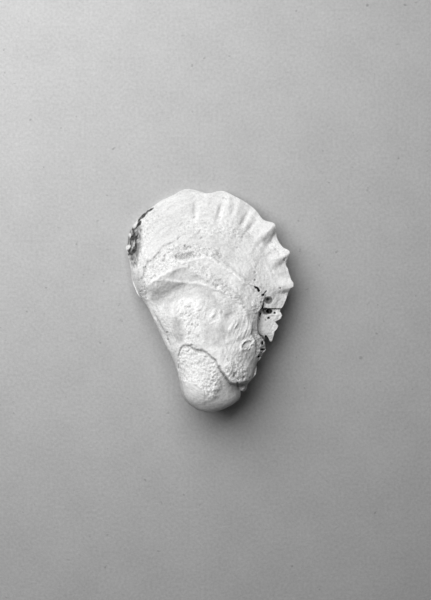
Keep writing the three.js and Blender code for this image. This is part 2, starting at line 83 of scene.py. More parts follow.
# by direction from the umbo in degrees: edge height, fullness and roundness of the dome
FORM = [
    (-135, 17.5, 3.2, 0.6), (-90, 20.2, 6.5, 0.5), (-60, 20.5, 7, 0.5), (-30, 20, 6, 0.52),
    (0, 18, 3.8, 0.75), (22, 17, 2.6, 1.5), (40, 15, 2.2, 2), (60, 10, 2.1, 1.8), (75, 6, 2, 1.5),
    (90, 3.5, 2.1, 1.2), (105, 2.8, 2.1, 1.05), (118, 3.5, 2.2, 1), (132, 7, 2.4, 0.95),
    (150, 14, 2.4, 0.9), (180, 17.5, 2.6, 0.7),
]
# by direction from the centre: how far the wall leans in under the edge, and where the hollow ends
RIM = [
    (-150, 3.5, 0.86), (-125, 4, 0.8), (-105, 4.5, 0.8), (-90, 5, 0.8), (-75, 4.5, 0.79), (-55, 4, 0.76),
    (-30, 2.5, 0.72), (0, 1.2, 0.76), (45, 0.7, 0.9), (90, 0.6, 0.92), (135, 1, 0.9), (165, 2.5, 0.88),
]
# by direction from the centre: how far the rim hangs over the ground on the right
HANG = [(-180, 0), (-30, 0), (-8, 8), (12, 12), (35, 11), (55, 6.5), (72, 2), (85, 0), (180, 0)]
# layer edges as x, y and strength; the higher side lies on the right hand of the way along
LAYER_1 = [
    (-34, 9, 0), (-32.75, 12, 0.8), (-31, 16.75, 1), (-29.25, 19.25, 1), (-27.25, 20.75, 1),
    (-24.75, 23.25, 1), (-23, 26, 0.8), (-20.75, 27.25, 0.9), (-17.75, 28.5, 0.7), (-12.75, 31.75, 0.4),
    (-10.75, 32.75, 0),
]
CREST_LINE = [
    (-32.75, 2.5, 0.4), (-31.5, 5.75, 0.8), (-29.75, 8, 1), (-26.25, 10.5, 1), (-22.25, 12.75, 1),
    (-19.75, 14.1, 1), (-17.5, 15.4, 0.95), (-15.5, 16.4, 0.85), (-13.25, 16.8, 0.7), (-10.75, 16.6, 0.5),
    (-8.5, 15.8, 0.35), (-6, 14.25, 0.2), (-4.25, 12.25, 0),
]
LAYER_2 = [
    (-8.75, 23.25, 0), (-4.75, 23.25, 0.5), (0.75, 21.5, 0.9), (3.75, 20, 1), (7.5, 17.4, 1),
    (11.25, 15.2, 1), (14.25, 12.9, 1), (16.9, 10.4, 1), (19.4, 8.4, 1), (22.25, 7, 1), (24.5, 5.25, 0.8),
    (26.25, 1.75, 0.4), (26.25, -1.25, 0),
]
LAYER_2_INNER = [
    (-20.75, 20.5, 0), (-17, 19.6, 0.7), (-12.5, 18.6, 1), (-8.5, 19.5, 1), (-5.25, 20.8, 1),
    (-1.5, 21.4, 1), (1.75, 20.3, 1), (4.9, 18.1, 1), (8, 15.8, 1), (11.25, 13.6, 1), (14, 11.3, 1),
    (16.5, 9, 0.8), (18.5, 7.4, 0),
]
LIP = [
    (12, 1.5, 0), (9.25, 3.25, 0.5), (6.25, 4.75, 0.9), (4.25, 5.4, 1), (2.25, 6.1, 1), (0.5, 6.8, 1),
    (-1, 7.4, 1), (-3, 8.1, 1), (-5, 8.6, 1), (-8, 8.8, 0.8), (-11.75, 8.7, 0.7), (-14, 9.1, 0.9),
    (-16.25, 9.6, 1), (-18.5, 9.9, 0.8), (-20.75, 10, 0.7), (-24, 9.9, 0.5), (-27.2, 9.4, 0.5),
    (-29, 8, 0),
]
TROUGH = [
    (-29.75, -2.75, 0.1), (-27.25, -2, 0.5), (-24.25, -0.75, 0.95), (-21.25, 1, 1), (-17.75, 3, 0.9),
    (-13.75, 4.5, 0.65), (-9.75, 5.25, 0.4), (-4.75, 4.75, 0.3), (-0.25, 3, 0.2), (3.75, 0.75, 0),
]
LENS = [(-17.25, 21.25, 0), (-15.25, 21.6, 1), (-12.25, 21.9, 1), (-9.25, 22.6, 1), (-7.5, 23.25, 0)]
WELT = [
    (-10.75, 17.75, 0), (-6.75, 15.75, 0.7), (-2.75, 12.75, 1), (2.25, 9.25, 1), (7.25, 5.75, 1),
    (11.25, 2.75, 1), (14.75, -0.75, 0.8), (17.75, -5.25, 0.6), (19.75, -10.25, 0.4), (20.25, -15.25, 0),
]
SHOULDER = [
    (-26.25, -3.75, 0), (-20.25, -0.75, 0.8), (-12.25, 1, 1), (-4.25, 0.5, 1), (2.75, -2.75, 0.7),
    (7.75, -7.75, 0),
]
FOLD = [
    (-16.75, -4.25, 0), (-15.75, -7.75, 0.8), (-13.75, -11.75, 1), (-13, -16.75, 1), (-13.75, -21.75, 0),
]
LEFT_FLAKE = [
    (-28.5, -4, 0), (-26.75, -7, 0.8), (-24.5, -11.5, 1), (-22.5, -15, 0.7), (-21, -18.5, 1),
    (-19.25, -22.5, 0.6), (-18, -27, 0),
]
ARCS = [
    [(13.25, 0.25, 0), (15.75, -2.25, 1), (17.75, -6.25, 1), (18.75, -10.75, 0.8), (18.75, -14.75, 0)],
    [(9.25, -1.25, 0), (11.25, -2.75, 1), (13.25, -5.75, 1), (14.25, -9.25, 0)],
]
KNOB_CRACK = [
    (20.75, -38.75, 0.3), (19.25, -39.75, 0.6), (16.75, -40.25, 1), (14.25, -40.75, 1), (12, -40.6, 1),
    (10.2, -39.7, 1), (8, -36.9, 1), (6, -33.9, 0.9), (4.6, -31.2, 0.8), (3, -29, 0.7),
    (-0.5, -25.9, 0.6), (-3, -24.2, 0.6), (-6.25, -23.3, 0.6), (-8.25, -22.5, 0.5), (-9.75, -21.75, 0.4),
    (-12.25, -21.75, 0.4), (-14.25, -23.5, 0.4), (-15.1, -26.25, 0.4), (-15.2, -30.75, 0.35),
    (-15.1, -36, 0.35), (-14.9, -40, 0),
]
# the lamina over the knob, along the first points of the crack
LAMINA_STRENGTH = (1, 1, 1, 1, 0.9, 0.7, 0.4, 0.2, 0)
LAMINA = [(22.5, -38, 1), *[(x, y, strength) for (x, y, _), strength in zip(KNOB_CRACK, LAMINA_STRENGTH)]]
KNOB_LOWER = [
    (4.75, -33.75, 0), (5.25, -38.25, 0.7), (5, -42.25, 0.9), (3.75, -45.75, 1), (1.75, -48.25, 1),
    (-1.75, -49.75, 1), (-4.75, -50.4, 0.9), (-8.25, -50.75, 0.6), (-10.75, -49.75, 0),
]
KNOB_LINE = [
    (-2.75, -43.75, 0), (-6.25, -41.5, 1), (-9.75, -40, 1), (-13.75, -40.25, 0.8), (-15.25, -41.25, 0),
]
# the broken right side as y and x: the body's edge, then the step onto the outer plates
BODY_EDGE = [
    (1.25, 23.75), (-2.75, 21.75), (-5.75, 20.75), (-10.75, 21), (-13.75, 21.25), (-16.25, 20.75),
    (-18.25, 21.75), (-20.25, 22.5), (-23.75, 22.75), (-25.75, 22.5), (-27.75, 23.5), (-30.25, 24.25),
    (-35.75, 24.25), (-40.75, 22.25), (-44.75, 17.75),
]
OUTER_EDGE = [
    (6, 28), (1, 27.2), (-1.25, 26.25), (-4.25, 25.5), (-5.6, 24.2), (-9.75, 23.9), (-14.75, 23.8),
    (-16.25, 24.6), (-18.75, 26.2), (-20.25, 27), (-24, 28), (-30, 27), (-44, 24),
]
# y and height: at the body's edge, where the strip beside it ends, and on the outer plates
STRIP_TOP = [(-44, 16), (-34, 21), (-24, 22.5), (-14, 23), (-4, 22.5)]
STRIP_FOOT = [(-44, 12), (-34, 17), (-24, 19), (-14, 20.5), (-4, 20.5)]
PLATE_HEIGHT = [(-40, 9), (-26, 14), (-16, 17), (-7, 17.6), (-4.5, 16.8), (-3.8, 18), (6, 19)]
# slots between the plates as x, y and half width, and how far down each goes
SLOTS = [
    ([(26.8, -1.4, 0.1), (26.3, -3.4, 0.25), (25.3, -5.8, 0.3), (24.7, -8.5, 0.2), (24.5, -11.5, 0.1)],
      16.2),
    ([(26.6, -4.1, 0.2), (29, -4.05, 0.22), (32, -4, 0.16), (35, -4.1, 0.2), (39, -4.2, 0.24)], 15),
    ([(27.6, -17.2, 0.3), (28.3, -18.6, 0.7), (28.8, -21, 1.2), (29.5, -24, 1.6)], 8),
]
# flutes as tip x, y, root x, y, lift and half width at the tip; those with a lift below zero are grooves
FLUTES = [
    (32.25, 37, 22, 28.25, 2.4, 2.7), (39.25, 23.75, 29.5, 19.75, 2.1, 2.6),
    (41.75, 7.25, 29, 8, 1.9, 3.4), (-10.75, 55.25, -11.75, 44, 0.5, 4),
    (-0.75, 53.75, -1.25, 45, 0.4, 2.6), (9.75, 50.25, 9.25, 42.25, 0.6, 2),
    (14.25, 47.75, 12.25, 39.25, 0.5, 1.6), (19.25, 39.25, 16.75, 34.75, 0.5, 1.4),
    (33, 31.25, 25.5, 24.25, -2, 2.3), (38, 17.75, 30.5, 15, -2, 2.2),
    (39.2, 3.75, 34.75, 3.75, -2.2, 1.3),
]
# rounded dents between the small flutes as x, y, half length, half width, turn and depth
DENTS = [
    (-7.2, 44.25, 4.8, 1.3, 86, 0.7), (5, 43.9, 4, 1.1, 74, 1.2), (11.75, 44.75, 3, 1.1, 66, 0.45),
    (17.25, 40.5, 4, 1, 62, 1.4), (20.4, 36.4, 3.2, 0.9, 52, 0.9), (9.8, -7.6, 2.4, 1.9, 20, 0.7),
    (25, 28.5, 3.5, 1.6, 45, 0.5),
]
# small ribs and crumbs on the body and the knob in the same order, with their height
RIBS = [
    (13, -12.4, 1.5, 0.4, 48, 0.9), (14, -14.2, 0.9, 0.3, 52, 0.25), (14.8, -16.8, 2, 0.6, 60, 0.35),
    (16, -18, 1.4, 0.4, 62, 0.25), (11, -12.6, 3, 0.8, 52, 0.3), (9.2, -16.6, 1.8, 0.6, 55, 0.2),
    (17.2, -15.4, 1.6, 0.7, 60, 0.3), (18.6, -12.4, 1.8, 0.4, 78, 0.15), (1.6, -7.4, 1.4, 0.9, 60, 0.6),
    (3.6, -10.6, 1.3, 0.8, 20, 0.6), (5.3, -5.2, 1, 0.6, 35, 0.4), (-5.5, -5, 3, 1.6, 70, 0.5),
    (16.4, -34.6, 2.6, 0.8, 50, 0.4), (20, -30, 3, 0.8, 60, 0.35), (17.1, -43.4, 1.4, 0.9, 60, 2.6),
]
# broad swellings as x, y, half length, half width, turn and rise: the low right, and the knob
SWELLINGS = [(8, -34, 10, 13, 0, 3), (-1, -45.5, 12, 8.5, 0, 2.8)]
# the edge of the ear-shaped scale in the same order, and how far it stands up
EAR = (18.5, -21.5, 3.6, 1.9, 37)
EAR_RISE = 0.9
# borings as x, y, half length, half width, turn and depth, the widest one with a floor that shows
WIDE_BORING = (29.3, 0, 1.7, 1.6, 0, 4.2)
BORINGS = [
    (28.7, 0.9, 0.9, 0.5, -50, 1), (24.25, 5.1, 0.9, 0.6, -65, 6), (23.2, 6.3, 1.1, 0.4, -25, 5),
    (20.8, 7.5, 1.5, 0.15, -22, 1), (26.4, 2.7, 0.6, 0.5, 30, 4), (27.4, 3.9, 1.2, 0.2, 48, 2),
    (25.6, -0.8, 0.8, 0.25, 5, 1.2), (29.6, -5.3, 1.4, 1.2, 0, 4), (32.2, -6.1, 0.45, 0.5, 0, 2.5),
    (29.2, -8.6, 0.5, 0.55, 0, 2.5), (27.8, -5.3, 1.8, 1.5, -30, 2.4), (27.8, -9.8, 0.35, 0.5, 0, 1),
    (22.4, 10.1, 0.4, 0.4, 0, 1.2), (22.5, 13.75, 0.4, 0.4, 0, 1), (35, 6, 0.4, 0.4, 0, 1.2),
    (-4.75, 34.1, 0.4, 0.4, 0, 1), (-3.75, 30.75, 0.9, 0.35, 20, 0.6), (13.75, 26.1, 0.6, 0.3, 0, 0.7),
    (7.6, 50.6, 1.2, 0.7, -30, 0.8), (37.1, 20.3, 0.7, 0.8, 0, 1.5), (-20.75, -15.75, 0.6, 0.4, 30, 0.9),
    (-20.25, -19.25, 0.6, 0.4, -20, 0.9), (11.9, -36.9, 0.5, 0.6, 0, 1.1),
    (14.3, -38.4, 0.5, 0.5, 0, 0.9), (16.7, -37.6, 0.4, 0.6, 0, 0.8), (17.2, -20.9, 0.8, 0.35, 40, 0.9),
    (19.9, -22.6, 1.6, 0.35, 42, 0.9), (26, -20.9, 0.45, 0.9, 0, 5), (26.1, -24.1, 1, 0.4, -10, 4),
    (24.2, -27.6, 0.6, 0.5, 0, 3), (-8.5, -21.8, 0.8, 0.35, -10, 0.8), (-6.3, -22.5, 0.35, 0.35, 0, 0.8),
    (-3.6, -23.6, 0.4, 0.3, 0, 0.8), (-8.25, -11.75, 0.5, 0.4, 30, 0.6), (20, -37.8, 0.5, 0.4, 0, 0.6),
    (-7.4, 41.3, 0.9, 0.5, 40, 0.7), (5.3, 41, 0.9, 0.5, 60, 0.7),
]
# areas as outline, softness of the border and strength: rough white chalk, and smooth grey shell, whose
# grey also holds painted shade in the hollow under the crest and in the trough under the lip
KNOB_PATCH = [
    (-14.75, -24.75), (-12.25, -22.5), (-8.25, -23.5), (-3.25, -25.75), (1.75, -29.75), (4.25, -34.25),
    (4.75, -39.75), (3.75, -44.75), (1.25, -48.25), (-2.75, -45.75), (-4.75, -42.75), (-9.75, -39.75),
    (-14.25, -39.75), (-15.25, -32.25),
]
VEIL = [
    (-16.5, -5.7), (-14.9, -0.6), (-10.1, 1), (-5.6, -1.2), (-3, -3.2), (-1.75, -8.3), (-3, -12.1),
    (-1.75, -18.5), (-3, -22.3), (-8, -21.3), (-12.6, -22.3), (-11.7, -16), (-13.3, -10.8), (-15.8, -8.3),
]
BLOB = [(-1.1, -5.7), (1.5, -3.8), (5.3, -5.1), (6.3, -8.9), (4.7, -12.8), (0.8, -12.1), (-1.1, -8.9)]
CHALK = [
    ([(-35.25, 7.25), (-33.25, 12.25), (-29.75, 17.75), (-25.75, 22.75), (-19.75, 26.75), (-12.25, 28.25),
      (-4.75, 27.75), (1.75, 25.75), (6.25, 21.75), (1.75, 20.75), (-3.25, 21.75), (-6.75, 20.75),
      (-11.75, 18.25), (-15.75, 17), (-19.25, 15.5), (-22.75, 13.5), (-27.25, 11), (-30.25, 7.75),
      (-31.25, 2.25), (-29.75, 0.25), (-33.75, 1.25)], 0.8, 1),
    (VEIL, 1, 0.5), (BLOB, 0.8, 0.55),
    ([(-11.75, 18.25), (-6.75, 19.25), (-1.75, 17.25), (3.25, 12.25), (8.25, 8.25), (13.25, 3.25),
      (17.25, -1.75), (20.25, -8.75), (20.75, -15.25), (18.25, -7.75), (14.25, -1.75), (9.25, 2.25),
      (3.25, 5.25), (-1.75, 9.25), (-6.75, 12.75)], 1.2, 0.6),
    (KNOB_PATCH, 0.8, 0.6),
    ([(8.25, -30.75), (13.25, -29.75), (18.25, -32.75), (18.75, -37.25), (15.25, -40.75), (10.75, -40.75),
      (8.25, -35.75)], 1.2, 0.9),
    ([(-35.25, 39.25), (-29.75, 44.75), (-24.75, 44.75), (-26.75, 36.25), (-29.75, 27.25),
      (-32.25, 19.25), (-34.75, 14.25), (-36.75, 19.25), (-35.75, 27.75)], 1.5, 0.5),
    ([(21.25, 0.25), (26.25, -0.75), (24.25, -5.75), (21.25, -5.75)], 0.8, 0.7),
    ([(21.25, -16.25), (26.25, -16.25), (27.75, -20.75), (27.25, -25.75), (24.25, -30.75),
      (22.25, -25.75)], 0.8, 1),
    ([(-14.25, 38.25), (-6.75, 39.75), (2.25, 39.25), (11.25, 42.25), (18.75, 39.25), (22.25, 33.25),
      (19.25, 29), (6.25, 30.75), (-4.75, 31.25), (-13.75, 32.25)], 2.5, 0.5),
    ([(28, 30), (33, 37), (35, 34), (36, 28), (40, 24.5), (38, 21), (33, 22), (30, 25)], 2, 0.4),
]
GREY_AND_SHADE = [
    ([(-29.25, 6.5), (-26.75, 9.75), (-22.25, 12.25), (-15.75, 15.75), (-9.75, 14.75), (-6.25, 12.75),
      (-3.25, 11.25), (-6.25, 10.4), (-14.75, 10), (-22.25, 10.25), (-26.75, 9)], 0.6, 0.6),
    ([(-28, 2), (-26, 7), (-20, 9), (-12, 8.8), (-4, 7.8), (-12, 6.5), (-18, 5), (-22, 2), (-27, -1)], 1,
      0.8),
    ([(-24.75, 2.25), (-14.75, 5.5), (-4.75, 6.5), (2.5, 3), (3, -1), (-4.75, 1.5), (-12.75, 1.75),
      (-20.75, -1), (-26.75, -3)], 1.2, 0.7),
    ([(-18.4, -9.6), (-15.8, -8.3), (-13.3, -12.1), (-12.3, -18.5), (-15.8, -20.5), (-17.8, -14.7)], 1,
      0.6),
    ([(-2.25, -12.75), (2.25, -13.75), (6.75, -12.75), (8.25, -15.75), (7.25, -22.25), (2.25, -22.75),
      (-1.75, -19.75)], 1, 0.5),
    ([(-14.25, -41.75), (-9.75, -41.75), (-4.75, -44.25), (1.25, -46.25), (3.25, -45.25), (4.75, -39.75),
      (7.25, -41.75), (10.75, -42.75), (14.25, -42.25), (15.25, -45.75), (11.75, -50.75), (5.25, -54.25),
      (-2.25, -55.25), (-8.75, -52.25), (-12.75, -46.75)], 1.2, 0.6),
    ([(8.5, -5.5), (12, -5), (13, -8.5), (10, -10), (7.5, -8.5)], 1, 0.6),
    ([(-16.75, 21.25), (-12.25, 22.9), (-8.25, 24), (-8, 22.5), (-10, 20.9), (-14, 20.2)], 0.6, 1),
    ([(21.2, -5), (23.6, -6), (23.6, -15), (26, -19), (23, -19.5), (21.4, -16.5)], 0.5, 0.7),
]
# painted shade in the flute grooves, on the shoulder, on the left of the skirt and beside the lens, as
# outline, softness and strength
PAINTED_SHADE = [
    ([(-17.25, 21.25), (-14, 22.8), (-10, 24.1), (-7.25, 24.2), (-8.5, 22.6), (-11.5, 21), (-14.5, 20.4)],
      0.6, 0.5),
    ([(-36, 11), (-34.5, 15), (-32.5, 19), (-30, 21.5), (-31.5, 18), (-33, 13), (-34, 8), (-35.5, 8)], 1,
      0.5),
    ([(-28, -1), (-22, 1), (-14, 2.5), (-8, 1.5), (-9, -2), (-14, -3.5), (-18, -8), (-23, -9), (-27, -5)],
      2, 0.4),
    ([(-36, 30), (-34, 39), (-27, 46), (-13, 50), (-9, 42), (-18, 33), (-28, 24), (-33, 20)], 4, 0.35),
    ([(31.5, 18), (34.5, 20), (38, 21), (40.5, 17.5), (41.5, 12), (35.5, 11.5), (32.5, 14.5)], 1.2, 0.85),
    ([(32.5, 34), (34.5, 33.5), (37, 29), (36, 27.5), (33, 29), (31, 31)], 1, 0.6),
    ([(31, 3), (38, 3), (40, 0.5), (37, -3.5), (30.5, -3.5)], 1, 0.4),
]
# painted light on slopes that face away from the lamp, with the whiter chalk of the veil, the blob and the
# knob, as outline, softness and strength
WHITE_AND_PAINTED_LIGHT = [
    (VEIL, 1, 1), (BLOB, 0.8, 1), (KNOB_PATCH, 0.8, 0.8),
    ([(-2, 19), (3, 18), (10, 13), (15, 8), (19, 2), (21, -8), (17, -3), (8, 6), (0, 11), (-8, 14),
      (-18, 13)], 1.5, 0.3),
    ([(-33, 6), (-30, 7), (-28.5, 4), (-29, 0), (-32, 0), (-34, 3)], 1, 0.7),
    ([(-22, 13.5), (-15, 16), (-9, 14), (-7, 11), (-16, 10.5), (-24, 10.5)], 1, 0.4),
    ([(-27, -6), (-20, -3.5), (-16.5, -7), (-19, -15), (-21, -16), (-24, -11)], 1.5, 0.5),
    ([(12, 3), (18, -1), (22, -8), (22, -20), (15, -24), (8, -20), (9, -10), (14, -4)], 2, 0.5),
    ([(25, -7), (30, -9), (36, -9), (35, -11), (33, -20), (27, -20), (23.5, -9)], 1.5, 0.7),
    ([(14, -31), (19, -30), (23, -33), (23.5, -37), (20, -40), (15, -40.5), (13, -37)], 1.5, 1),
    ([(-14, -43), (-9, -44), (-4, -46), (2, -48), (8, -46), (14, -46), (11, -51), (5, -55), (-3, -56),
      (-10, -52)], 1.5, 0.9),
]
# the mottled top of the body
MOTTLED = [
    (-25, -3), (-14, 3), (0, 3), (12, -1), (20, -8), (20, -20), (12, -28), (3, -25), (-4, -22),
    (-14, -20), (-20, -14),
]
# the dark crust on the left margin: streaks as x, y and half width, over a thinner veil
CRUST = [
    [(-28.3, 45.9, 0.3), (-30.75, 44.2, 0.6), (-33, 42.3, 0.8), (-34.6, 40.8, 0.5), (-35.5, 39.5, 0.2)],
    [(-34, 39.5, 0.2), (-34.75, 38.5, 0.8), (-36.25, 36.5, 0.5), (-37, 35.5, 0.2)],
    [(-37.8, 35.4, 0.5), (-38.2, 34.3, 0.5)],
    [(-35.6, 33, 0.2), (-36.8, 30.3, 0.5), (-36.5, 27.5, 0.6), (-37.1, 25.2, 0.9), (-38.4, 23.6, 1),
     (-40, 23.2, 0.4)],
    [(-38.7, 33.4, 0.3), (-39.2, 30, 0.3), (-39.3, 27.3, 0.4), (-39.9, 24.8, 0.9)],
    [(-37.5, 33.5, 0.2), (-38, 31.3, 0.8), (-37.8, 28.8, 0.2)],
    [(-38.9, 21, 0.2), (-37.4, 19.6, 0.5), (-36.6, 17.6, 0.2)],
]
CRUST_VEIL = [
    (-40.5, 34), (-38.5, 36), (-34.5, 37), (-33.8, 33), (-34, 27), (-35, 22), (-36, 17), (-38, 17),
    (-40.5, 22), (-41.5, 28),
]

# painted highlights along the lit layer edges, which are whiter broken shell as well, then painted shade
# in the cracks and under the lamina, with dark specks in it: along which line, how wide, how far to the
# left of it, and how strong
LIT_AND_WHITE_EDGES = [
    (CREST_LINE, 0.6, 0.3, 0.06), (LAYER_2, 0.4, 0.2, 0.14), (LAYER_2_INNER, 0.5, 0.25, 0.17),
    (LIP, 0.35, 0.175, 0.22),
]
SHADED_AND_SPECKED_CRACKS = [(LAYER_1, 0.8, 0.3, 0.5), (KNOB_CRACK, 0.35, 0.3, 0.5), (LAMINA, 0.6, 0.3, 0.3)]
# places with dark specks, as outline, softness and strength
DIRT = [
    ([(-36.5, 42), (-33, 36), (-33.5, 30), (-33, 22), (-33.5, 17), (-38.5, 15), (-39.5, 21), (-37, 22),
      (-36, 30)], 1.5, 0.8),
    ([(-38.5, 17), (-34, 18), (-30.5, 15), (-30.5, 8), (-32.5, 2), (-35, 5), (-37, 10)], 1.5, 0.7),
    ([(8.5, -26.5), (14, -27.5), (9, -33), (10.5, -40), (8, -49), (3, -50), (4, -40), (3, -32)], 1.5, 0.8),
    ([(9, -29), (16, -27), (23, -30), (23, -36), (17, -41), (10, -41), (7, -36)], 1.5, 0.5),
    ([(21, -17), (26, -17), (28, -21), (27.5, -26), (24.5, -31), (22.5, -25)], 1, 0.9),
    ([(25, 8), (30, 3), (33, -3), (33, -9), (27, -10), (26, -3), (22, 4)], 1.5, 0.6),
    ([(-27, -4), (-24, -12), (-20, -22), (-17, -32), (-18.5, -33), (-23, -22), (-28, -12), (-30, -5)], 1,
      1),
    ([(-16, -25), (-13, -21), (-6, -22), (1, -26), (5, -31), (3, -32), (-3, -27), (-10, -24), (-14, -26)],
      0.8, 0.6),
]


# ---- small helpers on arrays
def smooth(low, high, value):
    """0 at low and below, 1 at high and above, with an even start and end."""
    return eased(np.clip((value - low) / (high - low), 0, 1))


def eased(share):
    return share * share * (3 - 2 * share)


def bell(value):
    return np.exp(-value * value)


def peak(value):
    return np.exp(-np.abs(value))


def heading(degrees):
    """Cosine and sine of an angle in degrees."""
    return np.cos(np.radians(degrees)), np.sin(np.radians(degrees))


def smooth_line(knots, closed=False, steps=8):
    """Points of a smooth curve through the knots."""
    p = np.array(knots, float)
    if closed:
        p = np.vstack([p[-1:], p, p[:2]])
    else:
        p = np.vstack([2 * p[:1] - p[1:2], p, 2 * p[-1:] - p[-2:-1]])
    t = (np.arange(steps) / steps)[:, None]
    rows = []
    for a, b, c, d in zip(p[:-3], p[1:-2], p[2:-1], p[3:]):
        bend = (2 * a - 5 * b + 4 * c - d) * t**2 + (3 * b - a - 3 * c + d) * t**3
        rows.append(0.5 * (2 * b + (c - a) * t + bend))
    rows.append(p[-2:-1])
    return np.vstack(rows)


def by_direction(rows, column, degrees):
    """Value of a column of a table at each direction, going round smoothly."""
    places = np.array([row[0] for row in rows] + [rows[0][0] + 360.0])
    values = np.array([row[column] for row in rows] + [rows[0][column]], float)
    turn = np.mod(degrees - places[0], 360) + places[0]
    i = np.clip(np.searchsorted(places, turn, side="right") - 1, 0, len(rows) - 1)
    share = eased((turn - places[i]) / (places[i + 1] - places[i]))
    return values[i] * (1 - share) + values[i + 1] * share


def by_place(rows, place):
    """Straight interpolation in a table of pairs, in either order."""
    rows = sorted(rows)
    return np.interp(place, [row[0] for row in rows], [row[1] for row in rows])


def stretches(line, x, y):
    """Start, end and way of each stretch of a line, with the share along it and the distance from it."""
    for a, b in zip(line[:-1], line[1:]):
        ex, ey = b[0] - a[0], b[1] - a[1]
        share = np.clip(((x - a[0]) * ex + (y - a[1]) * ey) / (ex * ex + ey * ey + NOTHING), 0, 1)
        yield a, b, ex, ey, share, np.hypot(x - a[0] - share * ex, y - a[1] - share * ey)


def along(knots, x, y):
    """Distance to a line, positive on the right hand of the way along, and the third value there."""
    best = np.full(x.shape, np.inf)
    side = np.ones(x.shape)
    third = np.zeros(x.shape)
    for a, b, ex, ey, share, away in stretches(smooth_line(knots), x, y):
        near = away < best
        best = np.where(near, away, best)
        side = np.where(near, np.where(ex * (y - a[1]) - ey * (x - a[0]) > 0, -1, 1), side)
        third = np.where(near, a[2] + share * (b[2] - a[2]), third)
    return best * side, third


def within(outline, x, y, soft):
    """1 inside a smooth closed outline and 0 outside, changing over soft on each side of it."""
    inside = np.zeros(x.shape, bool)
    best = np.full(x.shape, np.inf)
    for a, b, ex, ey, _, away in stretches(smooth_line(outline, closed=True, steps=4), x, y):
        if abs(ey) > NOTHING:
            inside ^= ((a[1] > y) != (b[1] > y)) & (x < ex * (y - a[1]) / ey + a[0])
        best = np.minimum(best, away)
    return smooth(-soft, soft, np.where(inside, best, -best))


def plain_noise(x, y, size, seed, stretch=(1, 1), turn=0):
    """Smooth seeded noise between -1 and 1."""
    grid = np.random.default_rng(seed).uniform(-1, 1, (LATTICE, LATTICE))
    c, s = heading(turn)
    u = (x * c + y * s) / (size * stretch[0]) + 1000
    v = (-x * s + y * c) / (size * stretch[1]) + 1000
    i, j = np.floor(u).astype(int), np.floor(v).astype(int)
    fu, fv = eased(u - i), eased(v - j)
    i0, i1, j0, j1 = i % LATTICE, (i + 1) % LATTICE, j % LATTICE, (j + 1) % LATTICE
    low = grid[i0, j0] * (1 - fu) + grid[i1, j0] * fu
    high = grid[i0, j1] * (1 - fu) + grid[i1, j1] * fu
    return low * (1 - fv) + high * fv


def noise(x, y, size, seed, octaves=4, stretch=(1, 1), turn=0, gain=0.5, form=np.positive):
    """Noise with finer noise on it, octave by octave."""
    total, weight, whole = 0, 1.0, 0
    for k in range(octaves):
        total += weight * form(plain_noise(x, y, size / 2**k, seed + k, stretch, turn))
        whole += weight
        weight *= gain
    return total / whole


def folded(value):
    return np.minimum(1.6 * np.abs(value), 1)


def jagged(x, y, size, seed, stretch, turn=0):
    """Noise with sharp creases at its low places, between 0 and 1."""
    return noise(x, y, size, seed, 4, stretch, turn, 0.65, folded)


def pitted(x, y, size, seed, share=0.5):
    """Scattered small pits, 1 at the bottom of a pit and 0 between the pits."""
    fine, wide = plain_noise(x, y, size, seed), plain_noise(x, y, size * 5, seed + 7)
    return smooth(share, share + 0.35, fine + 0.35 * wide)


def terraces(value, step, sharp=0.25):
    """Turns a smooth value into flats with short steep risers between them."""
    level = value / step
    base = np.floor(level)
    return step * (base + smooth(1 - sharp, 1, level - base))


# ---- plan
def polar(x, y, middle=CENTRE):
    dx, dy = x - middle[0], y - middle[1]
    return np.degrees(np.arctan2(dy, dx)), np.hypot(dx, dy)


def round_table(line):
    """Directions from the centre and radii of a line's points, in order of direction."""
    degrees, radius = polar(line[:, 0], line[:, 1])
    order = np.argsort(degrees)
    return degrees[order], radius[order]


PLAN = round_table(smooth_line(OUTLINE, closed=True, steps=12))
BROKEN = round_table(np.array(BROKEN_MARGIN))


def from_direction(degrees, middle):
    """Angle from a direction, between -180 and 180."""
    return np.mod(degrees - middle + 180, 360) - 180


def plan_point(degrees, radius, middle=CENTRE):
    c, s = heading(degrees)
    return middle[0] + radius * c, middle[1] + radius * s


def smooth_radius(degrees):
    """Radius of the smooth plan round the centre."""
    return np.interp(degrees, PLAN[0], PLAN[1], period=360)


def margin_radius(degrees, fine=True):
    """Radius of the margin with its scallops, and its small chips where fine."""
    radius = smooth_radius(degrees)
    for middle, half, out in SCALLOPS:
        radius += out * bell(from_direction(degrees, middle) / half)
    if not fine:
        return radius
    turn, away = BROKEN
    wound = from_direction(degrees, 0)
    broken = smooth(turn[0] - 1, turn[0] + 1, wound) * smooth(turn[-1] + 1, turn[-1] - 1, wound)
    radius = radius * (1 - broken) + np.interp(wound, turn, away) * broken
    x, y = plan_point(degrees, radius)
    return radius + 0.3 * noise(x, y, 3, 301, 4, gain=0.6) * (0.5 + worn(degrees))


def worn(degrees):
    """Where the margin is broken: on the right and, over less of it, at the crust on the left."""
    right = smooth(40, 20, np.abs(from_direction(degrees, -17)))
    left = smooth(28, 14, np.abs(from_direction(degrees, 150)))
    return np.maximum(right, left)


def evened(values, spread):
    """A closed row of values, each averaged with its neighbours."""
    shares = np.arange(-2 * spread, 2 * spread + 1)
    weights = bell(shares / spread)
    return sum(w * np.roll(values, -k) for w, k in zip(weights, shares)) / weights.sum()


def foot_table():
    """Radius of the shell's foot for each degree, which keeps in under the bays of the margin."""
    offset = margin_radius(DEGREES) - smooth_radius(DEGREES)
    lowest = np.min([np.roll(offset, k) for k in range(-4, 5)], axis=0)
    return smooth_radius(DEGREES) + evened(lowest, 3)


